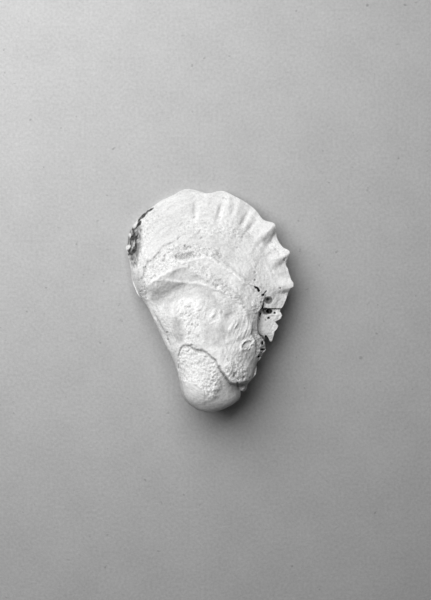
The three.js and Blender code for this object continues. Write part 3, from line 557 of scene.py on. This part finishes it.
def umbo_reach():
    """Distance from the umbo to the smooth plan for each degree, evened out over the neighbours."""
    low, high = np.zeros(360), np.full(360, 130.0)
    for _ in range(22):
        middle = (low + high) / 2
        way, away = polar(*plan_point(DEGREES, middle, UMBO))
        outside = away > smooth_radius(way)
        high, low = np.where(outside, middle, high), np.where(outside, low, middle)
    return evened(low, 6)


REACH = umbo_reach()
FOOT = foot_table()


def foot_radius(degrees):
    return np.interp(degrees, DEGREES, FOOT, period=360)


def rim_radius(degrees):
    """Radius of the outer edge of the rim's underside."""
    return foot_radius(degrees) - by_direction(RIM, 1, degrees)


def reach(x, y):
    """Share of the way from the umbo to the margin."""
    degrees, away = polar(x, y, UMBO)
    return away / np.interp(degrees, DEGREES, REACH, period=360)


# ---- outer surface
def dome(x, y):
    share = np.minimum(reach(x, y), 1)
    degrees, _ = polar(x, y, UMBO)
    edge, fullness, roundness = (by_direction(FORM, column, degrees) for column in (1, 2, 3))
    return edge + (CREST - edge) * (1 - share**fullness) ** roundness


def ledge(x, y, knots, rise, run, drop=0, drop_run=1, groove=0, edge=EDGE):
    """A broken layer edge: up to it from the high side, then a sharp drop with a groove at its foot."""
    away, third = along(knots, x, y)
    up = smooth(-edge, edge, away)
    torn = smooth(-0.35, 0.35, noise(x, y, 2.2, 171, 3, gain=0.8))
    foot = groove * torn * bell((away + 0.35) / 0.35)
    return third * (up * rise * bell(away / run) - (1 - up) * (drop * bell(away / drop_run) + foot))


def total(form, rows, x, y):
    """What a form gives with each row of a table, added up."""
    return sum(form(x, y, *row) for row in rows)


def ridge(x, y, knots, rise, right, left, on_right=bell, on_left=bell):
    """A crest, rounded by bell or sharp by peak on each side, or a trough where rise is below zero."""
    away, third = along(knots, x, y)
    return third * rise * np.where(away > 0, on_right(away / right), on_left(away / left))


def ellipse(x, y, middle_x, middle_y, half_length, half_width, turn):
    """Distance from the middle of a turned ellipse, 1 on the ellipse itself."""
    c, s = heading(turn)
    dx, dy = x - middle_x, y - middle_y
    return np.hypot((dx * c + dy * s) / half_length, (dy * c - dx * s) / half_width)


def lump(x, y, *row):
    """A rounded rise, from its ellipse and its height."""
    return row[-1] * bell(ellipse(x, y, *row[:-1]))


def boring(x, y, *row):
    """A steep hole, from its ellipse and its depth."""
    return -row[-1] * smooth(1.25, 0.7, ellipse(x, y, *row[:-1]))


def flute(x, y, tip_x, tip_y, root_x, root_y, lift, half):
    """One flute of the margin, rising from its root to its tip."""
    ax, ay = tip_x - root_x, tip_y - root_y
    length = np.hypot(ax, ay)
    share = ((x - root_x) * ax + (y - root_y) * ay) / length**2
    away = np.abs((x - root_x) * ay - (y - root_y) * ax) / length
    width = half * (0.55 + 0.45 * np.clip(share, 0, 1.3))
    before = np.maximum(-share, 0) * length
    return lift * smooth(-0.15, 0.9, share) * bell(away / width) * bell(before / half)


def lower_to(z, shelf, share):
    """Takes whatever stands over a shelf down to it, by a share."""
    return z - np.maximum(z - shelf, 0) * share


def share_of(areas, x, y, least=0.0):
    """The strongest of the areas at each place."""
    share = np.full(x.shape, least)
    for outline, soft, amount in areas:
        share = np.maximum(share, amount * within(outline, x, y, soft))
    return share


def broken_side(z, x, y, wx, wy):
    """Steps the right side down from the body to a strip, and from the strip to the outer plates."""
    body_x, outer_x = by_place(BODY_EDGE, wy), by_place(OUTER_EDGE, wy)
    across = np.clip((wx - body_x) / np.maximum(outer_x - body_x, 0.5), 0, 1)
    shelf = by_place(STRIP_TOP, y) * (1 - across) + by_place(STRIP_FOOT, y) * across
    z = lower_to(z, shelf, smooth(-EDGE, EDGE, wx - body_x) * (1 - smooth(-1.5, 3.5, y)))
    plate = by_place(PLATE_HEIGHT, y) - 0.12 * np.maximum(x - 26, 0) - 1.3 * bell((x - outer_x) / 2.4)
    return lower_to(z, plate, smooth(-EDGE, EDGE, wx - outer_x) * (1 - smooth(-1.5, 6, y)))


def crust_share(x, y):
    """The dark crust: torn streaks and a mottled veil on the left margin."""
    tear = noise(x, y, 2.2, 501, 4, gain=0.75)
    veins = noise(x, y, 1.5, 531, 4, stretch=(0.6, 1.5), turn=12, gain=0.8)
    share = 0.75 * within(CRUST_VEIL, x, y, 1.2) * smooth(-0.6, 0.2, veins)
    for streak in CRUST:
        away, half = along(streak, x, y)
        band = smooth(0.35, -0.25, np.abs(away) - half - 1.1 * tear)
        share = np.maximum(share, band * (0.88 + 0.12 * smooth(-0.4, 0, veins)))
    nub = lump(x, y, -41, 26.2, 2.4, 1.2, 35, 1)
    return share * (1 - smooth(0.3, 0.7, nub))


def specks(x, y):
    """Small dark specks, thick in places and missing in others."""
    fine = noise(x, y, 1.1, 521, 3, gain=0.85)
    patches = noise(x, y, 5, 541, 2)
    return smooth(0.12, 0.5, fine + 0.3 * patches)


def streaks(x, y):
    """Fine uneven bands that follow the growth of the shell."""
    degrees, _ = polar(x, y, UMBO)
    bend = 1.2 * noise(x, y, 9, 5)
    return noise(reach(x, y) * STREAK_BANDS + bend, degrees / 9, 1, 551, 4, gain=0.75)


def relief(x, y, chalk, grey_and_shade):
    """The fine relief: growth rings, chalk, cracks, pits and flakes."""
    share = reach(x, y)
    wave = share * RING_WAVES + 2.5 * noise(x, y, 12, 5)
    rings = np.sin(wave) * smooth(0.35, 0.6, share) * smooth(1, 0.93, share) * smooth(-15, 5, y)
    z = 0.06 * rings * (0.5 + 0.5 * noise(x, y, 8, 31))
    z += 0.35 * noise(x, y, 14, 61, 3) + 0.16 * noise(x, y, 5, 65, 2)
    plain = (1 - 0.7 * grey_and_shade) * (1 - 0.6 * np.minimum(chalk, 1))
    z += 0.22 * plain * noise(x, y, 1.8, 81, 3, gain=0.8)
    banded = smooth(0.15, 0.45, share) * (1 - 0.5 * smooth(0.6, 0.9, share))
    z += 0.3 * (1 - 0.5 * grey_and_shade) * banded * streaks(x, y)
    z += chalk * 0.55 * noise(x, y, 2, 41, 4, gain=0.85)
    z += chalk * 0.9 * (jagged(x, y, 2.4, 121, (1.5, 0.8), 25) - 0.5)
    return z - (0.12 + 0.3 * chalk) * (1 - 0.8 * grey_and_shade) * pitted(x, y, 1.1, 131, 0.5)


def knob_flakes(x, y):
    """Torn, wavy sheets on the knob, with crumbs on its right."""
    patch = within(KNOB_PATCH, x, y, 0.9)
    right = smooth(-3, 2.5, x + 0.3 * (y + 36))
    sheets = noise(x, y, 2.1, 71, 4, stretch=(2.2, 0.45), turn=-12, gain=0.75)
    crumbs = noise(x, y, 0.8, 91, 2, gain=0.9)
    return patch * (terraces(0.5 * sheets, 0.12) - 0.25 * sheets + (0.4 + 0.4 * right) * crumbs)


# layer edges as line, rise, its run, drop, its run, depth of the groove, and half the run of the edge
LEDGES = [(LAYER_1, 0.6, 3, 0, 1, 1), (LAYER_2, 1, 5, 0, 1, 0, 0.6), (KNOB_LOWER, 0, 3, 0.45, 4, 0, 1.2)]
KNOB_EDGE = (KNOB_CRACK, 0.5, 2.5, 1.9, 9, 0.8, 0.5)
LAMINA_EDGE = (LAMINA, 0.6, 4, 2.4, 9, 0, 0.6)
LAMINA_FOOT = (LAMINA, 0, 4, 2.1, 9, 0, 0.6)
KNOB_STEP = (KNOB_LINE, 0.12, 1.5, 0.1, 2)
# crests and troughs as line, rise, width on the right and on the left, and form where it isn't rounded
RIDGES = [
    (CREST_LINE, 3.1, 4.8, 3, peak), (WELT, 0.9, 2.2, 1.8), (LENS, -1, 1.3, 1.2), (TROUGH, -4.8, 5.5, 4.8),
    (LIP, 0.8, 0.8, 1, peak, peak), (SHOULDER, 0.5, 4, 3), (FOLD, -0.7, 1.2, 1.6),
]
FINE_RIDGES = [
    (LAYER_2, 0.4, 0.45, 0.6, peak, peak), (LAYER_2_INNER, 0.5, 0.7, 0.5, peak, peak),
    (LEFT_FLAKE, -0.7, 0.9, 0.5), (ARCS[0], 0.22, 0.7, 0.7), (ARCS[1], 0.22, 0.7, 0.7),
]


def outer_height(x, y, fine=True):
    """Height of the outer surface over the rim; without fine, only its main forms."""
    z = dome(x, y)
    if fine:
        wx = x + 0.5 * noise(x, y, 4, 11) + 0.25 * noise(x, y, 1.5, 15, 2)
        wy = y + 0.5 * noise(x, y, 4, 21) + 0.25 * noise(x, y, 1.5, 25, 2)
    else:
        wx, wy = x, y
    z += total(flute, FLUTES, wx, wy) + total(ridge, RIDGES, wx, wy)
    z += total(lump, SWELLINGS, x, y) - total(lump, DENTS, x, y)
    z += total(ledge, LEDGES, wx, wy)
    high = smooth(-37, -32, y)   # the crack is ragged higher up, and runs evenly under the lamina
    ragged = 0.5 * high * noise(x, y, 1.4, 17, 2)
    lx, ly = x + (0.35 + 0.65 * high) * (wx - x), y + (0.35 + 0.65 * high) * (wy - y)
    z += ledge(lx + ragged, ly + ragged, *KNOB_EDGE)
    z += ledge(lx, ly, *LAMINA_EDGE) + ledge(lx - 0.3, ly + 0.5, *LAMINA_FOOT)
    z = broken_side(z, x, y, wx, wy)
    if not fine:
        return z
    z += total(ridge, FINE_RIDGES, wx, wy) + total(lump, RIBS, wx, wy) + ledge(wx, wy, *KNOB_STEP)
    ring = ellipse(wx, wy, *EAR) + 0.3 * noise(x, y, 1.6, 181, 2)
    z += EAR_RISE * (bell((ring - 1) / 0.22) - 0.6 * smooth(1, 0.6, ring))
    z += total(boring, [WIDE_BORING, *BORINGS], x, y)
    chalk, grey_and_shade = share_of(CHALK, wx, wy, 0.12), share_of(GREY_AND_SHADE, wx, wy)
    z += relief(x, y, chalk, grey_and_shade) + knob_flakes(x, y)
    crust = crust_share(x, y)
    return z + crust * (0.7 * noise(x, y, 2.2, 511, 4, gain=0.7) - 0.3)


# ---- closed surface
def disc(u, v):
    """Direction and share of the radius for points of the square from -1 to 1."""
    x, y = u * np.sqrt(1 - v * v / 2), v * np.sqrt(1 - u * u / 2)
    return np.degrees(np.arctan2(y, x)), np.hypot(x, y)


def rim_height(degrees):
    """Height of the rim's underside: on the ground, but lifted under a flute and on the right."""
    x, y = plan_point(degrees, margin_radius(degrees, fine=False))
    return np.maximum(total(flute, FLUTES, x, y), 0) * 0.9 + by_place(HANG, degrees)


def inner_height(x, y, degrees, share):
    """Height of the hollow's roof and of the rim, at a share of the way to the rim's edge."""
    lift = rim_height(degrees) * smooth(0.75, 1, share)
    hollow = np.minimum(share / by_direction(RIM, 2, degrees), 1)
    roof = CAVITY_DEPTH * (1 - hollow**2.4) ** 0.85
    thickness = THICK + (THIN - THICK) * smooth(0.1, 0.8, share)
    room = outer_height(x, y, fine=False) - lift - thickness
    return lift + np.maximum(np.minimum(roof, room), 0)


def inner_points(u, v):
    degrees, share = disc(u, v)
    x, y = plan_point(degrees, share * rim_radius(degrees))
    return np.stack([x, y, inner_height(x, y, degrees, share)], -1)


def outer_points(u, v):
    degrees, share = disc(u, v)
    x, y = plan_point(degrees, share * margin_radius(degrees))
    degrees, away = polar(x, y)
    roof = inner_height(x, y, degrees, np.minimum(away / rim_radius(degrees), 1))
    return np.stack([x, y, np.maximum(outer_height(x, y), roof + LEAST)], -1)


def border(columns, rows):
    """The grid's border as index pairs, anticlockwise."""
    return (
        [(i, 0) for i in range(columns)] + [(columns, j) for j in range(rows)]
        + [(i, rows) for i in range(columns, 0, -1)] + [(0, j) for j in range(rows, 0, -1)]
    )


def on_wall(make, x, y, z, degrees):
    """Noise laid on an upright wall, from the side that the wall faces."""
    facing = heading(degrees)[0] ** 2
    return facing * make(y, z) + (1 - facing) * make(x, z)


def wall_flakes(across, z):
    """Broken edges of the layers that the wall cuts through."""
    layers = jagged(across, z, 1.9, 411, (4.2, 0.9))
    return 2.4 * (layers - 0.5) + 0.7 * noise(across, z, 1.6, 421, 3, stretch=(1.6, 0.8), gain=0.8)


def wall_rings(top, degrees):
    """Rows of points down the side, with the edges of the layers and chips in it."""
    radius, foot = margin_radius(degrees), foot_radius(degrees)
    lean = by_direction(RIM, 1, degrees)
    rim = rim_height(degrees)
    rings = []
    for ring in range(1, WALL_RINGS + 1):
        down = ring / WALL_RINGS
        z = top[:, 2] + (rim - top[:, 2]) * down
        flakes = on_wall(wall_flakes, top[:, 0], top[:, 1], z, degrees)
        depth = smooth(0, 0.15, down) * smooth(1, 0.9, down) * smooth(0, 6, top[:, 2] - rim)
        inward = (radius - foot) * smooth(0, 0.5, down) + lean * down**1.4
        x, y = plan_point(degrees, radius - inward + np.minimum(flakes, inward) * depth)
        rings.append(np.stack([x, y, z], -1))
    return rings


def build_shell():
    """All points, the faces of outside and wall, and what the inside and the masks are made from."""
    u, v = np.meshgrid(np.linspace(-1, 1, COLUMNS + 1), np.linspace(-1, 1, ROWS + 1), indexing="ij")
    outer = outer_points(u, v)
    edge = border(COLUMNS, ROWS)
    ei, ej = np.array(edge).T
    degrees, _ = disc(u[ei, ej], v[ei, ej])
    rings = wall_rings(outer[ei, ej], degrees)
    inner = inner_points(u[::COARSER, ::COARSER], v[::COARSER, ::COARSER])

    outer_index = np.arange(u.size).reshape(u.shape)
    round_index = u.size + np.arange(WALL_RINGS * len(edge)).reshape(WALL_RINGS, -1)
    rim = round_index[-1]
    columns, rows = COLUMNS // COARSER, ROWS // COARSER
    inner_index = np.full((columns + 1, rows + 1), -1)
    for k, (i, j) in enumerate(border(columns, rows)):
        inner_index[i, j] = rim[k * COARSER]
    free = inner_index < 0
    inner_index[free] = rim[-1] + 1 + np.arange(free.sum())

    faces = quads(outer_index)
    faces += bands([outer_index[ei, ej], *round_index])
    points = np.vstack([outer.reshape(-1, 3), *rings, inner[free]])
    return points, faces, inner_index, rim, convexity(outer), steepness(outer)


def convexity(outer):
    """How far each point of the outer grid stands over its neighbours, in millimetres."""
    z = outer[..., 2]
    around = z.copy()
    for _ in range(5):
        wide = np.pad(around, 1, mode="edge")
        around = (wide[:-2, 1:-1] + wide[2:, 1:-1] + wide[1:-1, :-2] + wide[1:-1, 2:] + 2 * around) / 6
    return (z - around).ravel()


def steepness(outer):
    """0 where the outer grid lies level, and 1 where it stands upright."""
    normal = np.cross(np.gradient(outer, axis=0), np.gradient(outer, axis=1))
    return 1 - (np.abs(normal[..., 2]) / np.linalg.norm(normal, axis=-1)).ravel()


def bands(rings):
    """The faces between each closed ring of point numbers and the next."""
    return [face for a, b in zip(rings, rings[1:]) for face in zip(a, b, np.roll(b, -1), np.roll(a, -1))]


def quads(index):
    a, b, c, d = index[:-1, :-1], index[1:, :-1], index[1:, 1:], index[:-1, 1:]
    return list(zip(a.ravel(), b.ravel(), c.ravel(), d.ravel()))


def inner_faces(inner_index, rim):
    """The hollow's faces, seen from below, with the rim's extra points worked into the border squares."""
    between = {}
    columns, rows = inner_index.shape[0] - 1, inner_index.shape[1] - 1
    ring = border(columns, rows)
    for k, (i, j) in enumerate(ring):
        following = ring[(k + 1) % len(ring)]
        extra = [rim[(k * COARSER + step) % len(rim)] for step in range(1, COARSER)]
        between[(inner_index[i, j], inner_index[following])] = extra
    faces = []
    for a, b, c, d in quads(inner_index):
        loop = []
        for first, second in ((a, b), (b, c), (c, d), (d, a)):
            loop.append(first)
            loop += between.get((first, second), [])
        faces.append(tuple(reversed(loop)))
    return faces


def bored(x, y):
    """1 deep in a boring and 0 beside it; the wide one counts less, so its floor stays light enough to
    show under the painted shade.
    """
    depth = 0.4 * boring(x, y, *WIDE_BORING) + total(boring, BORINGS, x, y)
    return smooth(-0.4, -3, depth)


def drawn(x, y, knots, wide, left, amount):
    away, strength = along(knots, x, y)
    return amount * strength * bell((away + left) / wide)


def whiteness_with_painted_light(x, y):
    """How much light the bare shell gives back, place by place, with painted shade and painted light
    worked in.
    """
    wx, wy = x + 0.8 * noise(x, y, 4, 11), y + 0.8 * noise(x, y, 4, 21)
    chalk, grey_and_shade = share_of(CHALK, wx, wy), share_of(GREY_AND_SHADE, wx, wy)
    tone = 0.78 + 0.12 * noise(x, y, 8, 701, 5, gain=0.65) + 0.09 * (1 - 0.7 * grey_and_shade) * streaks(x, y)
    # whiter chalk and painted light raise the tone; the grey lowers it, and stands for painted shade in
    # the hollows too
    tone += 0.05 * chalk + 0.12 * share_of(WHITE_AND_PAINTED_LIGHT, wx, wy) - 0.18 * grey_and_shade
    # painted shade over those places
    tone -= 0.2 * share_of(PAINTED_SHADE, x, y)
    tone += within(MOTTLED, x, y, 3) * (0.2 * noise(x, y, 3.4, 711, 4, gain=0.8) - 0.02)
    dark = specks(x, y)
    # painted highlights along the lit layer edges
    tone += total(drawn, LIT_AND_WHITE_EDGES, wx, wy)
    # painted shade in the cracks and under the lamina, deepened by the dark specks
    tone -= (0.35 + 0.65 * dark) * total(drawn, SHADED_AND_SPECKED_CRACKS, wx, wy)
    tone -= 0.34 * dark * share_of(DIRT, wx, wy)
    tone -= 0.16 * chalk * pitted(x, y, 1.1, 131, 0.4)
    # painted shade deep in the borings
    return tone * (1 - 0.75 * bored(x, y))


def wall_whiteness(across, z):
    """Streaks of lighter and darker layers on the side."""
    return 0.7 + 0.2 * noise(across, z, 1.8, 741, 4, stretch=(5, 0.8), gain=0.75)


CLIFF_PAINTED_SHADE = 0.12   # painted shade on the steep cliffs of the outside, below the tone of the wall's layers


def shell_masks(points, walls, hollow_shade_bump_light, steep):
    """Where the shell is inside, crust and chalk, and how light it is with its painted shade and light,
    for each point.
    """
    x, y, _ = points.T
    degrees, _ = polar(x, y)
    outside = len(hollow_shade_bump_light)
    on_side = slice(outside, outside + walls)
    inside = np.ones(len(points))
    inside[: outside + walls] = 0
    tone = whiteness_with_painted_light(x, y)
    # painted shade in the hollows and painted light on the bumps of the outer grid
    tone[:outside] += np.clip(0.5 * hollow_shade_bump_light, -0.12, 0.06)
    places = np.vstack([points.T, degrees])
    # the cliffs of the outside take the wall's layers with painted shade on them
    layers = on_wall(wall_whiteness, *places[:, :outside]) - CLIFF_PAINTED_SHADE
    upright = smooth(0.45, 0.7, steep) * (1 - bored(x, y)[:outside])
    tone[:outside] += (layers - tone[:outside]) * upright
    side = places[:, on_side]
    tone[on_side] = on_wall(wall_whiteness, *side)
    crust = crust_share(x, y) * (1 - inside)
    crust[on_side] *= smooth(-0.3, 0.3, on_wall(lambda a, b: noise(a, b, 2.4, 751, 3), *side))
    chalk = share_of(CHALK, x, y, 0.15) * (1 - inside)
    return {"inside": inside, "crust": crust, "chalk": chalk, "tone": tone}


def placed(name, data):
    """A new object in the scene."""
    obj = bpy.data.objects.new(name, data)
    bpy.context.scene.collection.objects.link(obj)
    return obj


def placed_mesh(name, points, faces):
    """A mesh in the scene, from points of the plan in millimetres."""
    points[:, :2] -= BOX_MIDDLE
    mesh = bpy.data.meshes.new(name)
    mesh.from_pydata((points * MM).tolist(), [], [tuple(int(i) for i in face) for face in faces])
    return placed(name, mesh)


def make_shell():
    points, faces, inner_index, rim, hollow_shade_bump_light, steep = build_shell()
    faces += inner_faces(inner_index, rim)
    masks = shell_masks(points, (WALL_RINGS - 1) * len(rim), hollow_shade_bump_light, steep)
    obj = placed_mesh("shell", points, faces)
    for name, values in masks.items():
        attribute = obj.data.attributes.new(name, "FLOAT", "POINT")
        attribute.data.foreach_set("value", np.asarray(values, np.float32))
    obj.data.validate()
    return obj


# ---- cutters
def slot_cutter(knots, floor):
    """An upright prism with uneven walls over a strip of changing width."""
    line = smooth_line(knots)[::2]
    way = np.gradient(line[:, :2], axis=0)
    way /= np.linalg.norm(way, axis=1, keepdims=True)
    side = np.stack([-way[:, 1], way[:, 0]], -1)
    loops = []
    for z in np.linspace(floor, CREST + 2, 24):
        wave = 0.3 * line[:, 2:] * noise(line[:, 0] + 2 * z, line[:, 1] - z, 2.5, 601, 3)[:, None]
        left = line[:, :2] + side * (line[:, 2:] + wave)
        right = line[:, :2] - side * (line[:, 2:] + wave[::-1])
        loop = np.vstack([left, right[::-1]])
        loops.append(np.column_stack([loop, np.full(len(loop), z)]))
    points = np.vstack(loops)
    rings = np.arange(len(points)).reshape(len(loops), -1)
    return placed_mesh("slot_cutter", points, [rings[0], rings[-1][::-1], *bands(rings)])


def cut(obj, cutter):
    """Subtracts the cutter and deletes it."""
    modifier = obj.modifiers.new("cut", "BOOLEAN")
    modifier.operation = "DIFFERENCE"
    modifier.solver = "MANIFOLD"
    modifier.object = cutter
    bpy.context.view_layer.update()
    result = bpy.data.meshes.new_from_object(obj.evaluated_get(bpy.context.evaluated_depsgraph_get()))
    obj.modifiers.clear()
    obj.data = result
    bpy.data.objects.remove(cutter)


# ---- materials
class Nodes:
    """Short ways to add shader nodes to a material."""

    def __init__(self, name):
        self.material = bpy.data.materials.new(name)
        self.material.use_nodes = True
        self.tree = self.material.node_tree
        self.tree.nodes.clear()
        self.place = self.node("ShaderNodeTexCoord").outputs["Object"]

    def node(self, kind, *values, **settings):
        """A node with its settings, and with values or links for its first sockets."""
        made = self.tree.nodes.new(kind)
        for key, value in settings.items():
            setattr(made, key, value)
        for value, socket in zip(values, made.inputs):
            self.put(value, socket)
        return made

    def put(self, value, socket):
        if isinstance(value, (int, float, tuple)):
            socket.default_value = value
        else:
            self.tree.links.new(value, socket)

    def fill(self, node, **values):
        for name, value in values.items():
            self.put(value, node.inputs[name])

    def mask(self, name):
        return self.node("ShaderNodeAttribute", attribute_name=name).outputs["Fac"]

    def speckle(self, scale, detail, roughness):
        made = self.node("ShaderNodeTexNoise")
        self.fill(made, Vector=self.place, Scale=scale, Detail=detail, Roughness=roughness)
        return made.outputs["Fac"]

    def remap(self, value, low, high, to_low, to_high):
        made = self.node("ShaderNodeMapRange", value, low, high, to_low, to_high, clamp=True)
        return made.outputs["Result"]

    def maths(self, operation, a, b):
        return self.node("ShaderNodeMath", a, b, operation=operation).outputs[0]

    def plus(self, a, b):
        return self.maths("ADD", a, b)

    def times(self, a, b):
        return self.maths("MULTIPLY", a, b)

    def mix(self, share, a, b):
        made = self.node("ShaderNodeMix", data_type="RGBA")
        self.fill(made, Factor=share, A=a, B=b)
        return made.outputs["Result"]

    def finish(self, colour, rough, height, strength, distance, specular):
        bump = self.node("ShaderNodeBump")
        self.fill(bump, Strength=strength, Distance=distance, Height=height)
        shader = self.node("ShaderNodeBsdfPrincipled")
        self.fill(shader, Roughness=rough, Normal=bump.outputs["Normal"])
        self.put(specular, shader.inputs["Specular IOR Level"])
        self.put(colour, shader.inputs["Base Color"])
        self.node("ShaderNodeOutputMaterial", shader.outputs["BSDF"])
        return self.material


BLACK, WHITE, CHALK_WHITE = (0, 0, 0, 1), (1, 1, 1, 1), (1, 1, 0.995, 1)
NACRE = (0.78, 0.78, 0.775, 1)
NACRE_DARK = (0.66, 0.66, 0.66, 1)
CRUST_BLACK = (0.005, 0.005, 0.005, 1)
CRUST_GREY = (0.1, 0.1, 0.097, 1)


def shell_material():
    n = Nodes("oyster_chalk")
    cloud = n.speckle(scale=60, detail=5, roughness=0.6)
    grain = n.speckle(scale=1100, detail=4, roughness=0.8)
    pores = n.speckle(scale=620, detail=5, roughness=0.8)
    grainy = n.plus(n.times(n.mask("chalk"), 1.8), 0.6)
    # the tone mask carries the painted shade and painted light
    tone = n.plus(n.mask("tone"), n.times(n.remap(grain, 0.3, 0.7, -0.15, 0.15), grainy))
    outside = n.mix(tone, BLACK, CHALK_WHITE)
    nacre = n.mix(n.remap(cloud, 0.4, 0.7, 0, 1), NACRE, NACRE_DARK)
    colour = n.mix(n.mask("inside"), outside, nacre)
    crust = n.mix(n.remap(pores, 0.44, 0.7, 0, 1), CRUST_BLACK, CRUST_GREY)
    colour = n.mix(n.mask("crust"), colour, crust)
    rough = n.maths("SUBTRACT", n.remap(pores, 0.3, 0.7, 0.9, 0.7), n.times(n.mask("inside"), 0.45))
    height = n.plus(n.times(pores, 0.8), n.times(grain, 0.5))
    height = n.times(height, n.plus(n.times(n.mask("chalk"), 1.1), 0.5))
    return n.finish(colour, rough, height, strength=0.8, distance=0.6 * MM, specular=0.35)


def paper_material():
    n = Nodes("grey_paper")
    fibre = n.speckle(scale=700, detail=3, roughness=0.7)
    cloud = n.speckle(scale=45, detail=4, roughness=0.6)
    flecks = n.speckle(scale=260, detail=2, roughness=0.5)
    tone = n.plus(n.remap(fibre, 0.3, 0.7, 0.455, 0.555), n.remap(cloud, 0.35, 0.65, -0.015, 0.015))
    tone = n.maths("SUBTRACT", tone, n.remap(flecks, 0.70, 0.78, 0, 0.16))
    colour = n.mix(tone, BLACK, WHITE)
    return n.finish(colour, 0.95, fibre, strength=0.5, distance=0.2 * MM, specular=0.1)


# ---- stage
FLOOR = 1.6                 # half its width, in metres
# the light, in degrees, metres and watts
WINDOW = {"from": 128, "up": 52, "away": 0.4, "size": 0.48, "power": 2.46}
AMBIENT = 0.04
VIEW_HEIGHT = 300           # what the view shows of the ground
VIEW_MIDDLE = (3.0 - BOX_MIDDLE[0], 0.25 - BOX_MIDDLE[1])
CAMERA_HEIGHT = 1.2         # in metres
SENSOR = 24


def floor():
    corners = [(-FLOOR, -FLOOR, 0), (FLOOR, -FLOOR, 0), (FLOOR, FLOOR, 0), (-FLOOR, FLOOR, 0)]
    mesh = bpy.data.meshes.new("floor")
    mesh.from_pydata(corners, [], [(0, 1, 2, 3)])
    mesh.materials.append(paper_material())
    obj = placed("floor", mesh)


def lights():
    """A window above and to the upper left, aimed at the shell, and a little light from all round."""
    data = bpy.data.lights.new("window", "AREA")
    data.shape = "SQUARE"
    data.size = WINDOW["size"]
    data.energy = WINDOW["power"]
    c, s = heading(WINDOW["from"])
    level, height = heading(WINDOW["up"])
    place = Vector((level * c, level * s, height)) * WINDOW["away"]
    obj = placed("window", data)
    obj.location = place
    obj.rotation_euler = (-place).to_track_quat("-Z", "Y").to_euler()
    world = bpy.data.worlds.new("studio")
    world.use_nodes = True
    background = world.node_tree.nodes["Background"]
    background.inputs["Color"].default_value = (1, 1, 1, 1)
    background.inputs["Strength"].default_value = AMBIENT
    bpy.context.scene.world = world


def camera():
    """Straight above the shell, looking down."""
    data = bpy.data.cameras.new("camera")
    data.sensor_fit = "VERTICAL"
    data.sensor_height = SENSOR
    data.lens = SENSOR * CAMERA_HEIGHT / (VIEW_HEIGHT * MM)
    obj = placed("camera", data)
    obj.location = (VIEW_MIDDLE[0] * MM, VIEW_MIDDLE[1] * MM, CAMERA_HEIGHT)
    bpy.context.scene.camera = obj


shell = make_shell()
for knots, floor_height in SLOTS:
    cut(shell, slot_cutter(knots, floor_height))
shell.data.materials.clear()
shell.data.materials.append(shell_material())
shell.data.polygons.foreach_set("use_smooth", [True] * len(shell.data.polygons))
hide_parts("oyster_shell")
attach(shell, "root")
floor()
lights()
camera()
bpy.context.scene.view_settings.view_transform = "Standard"
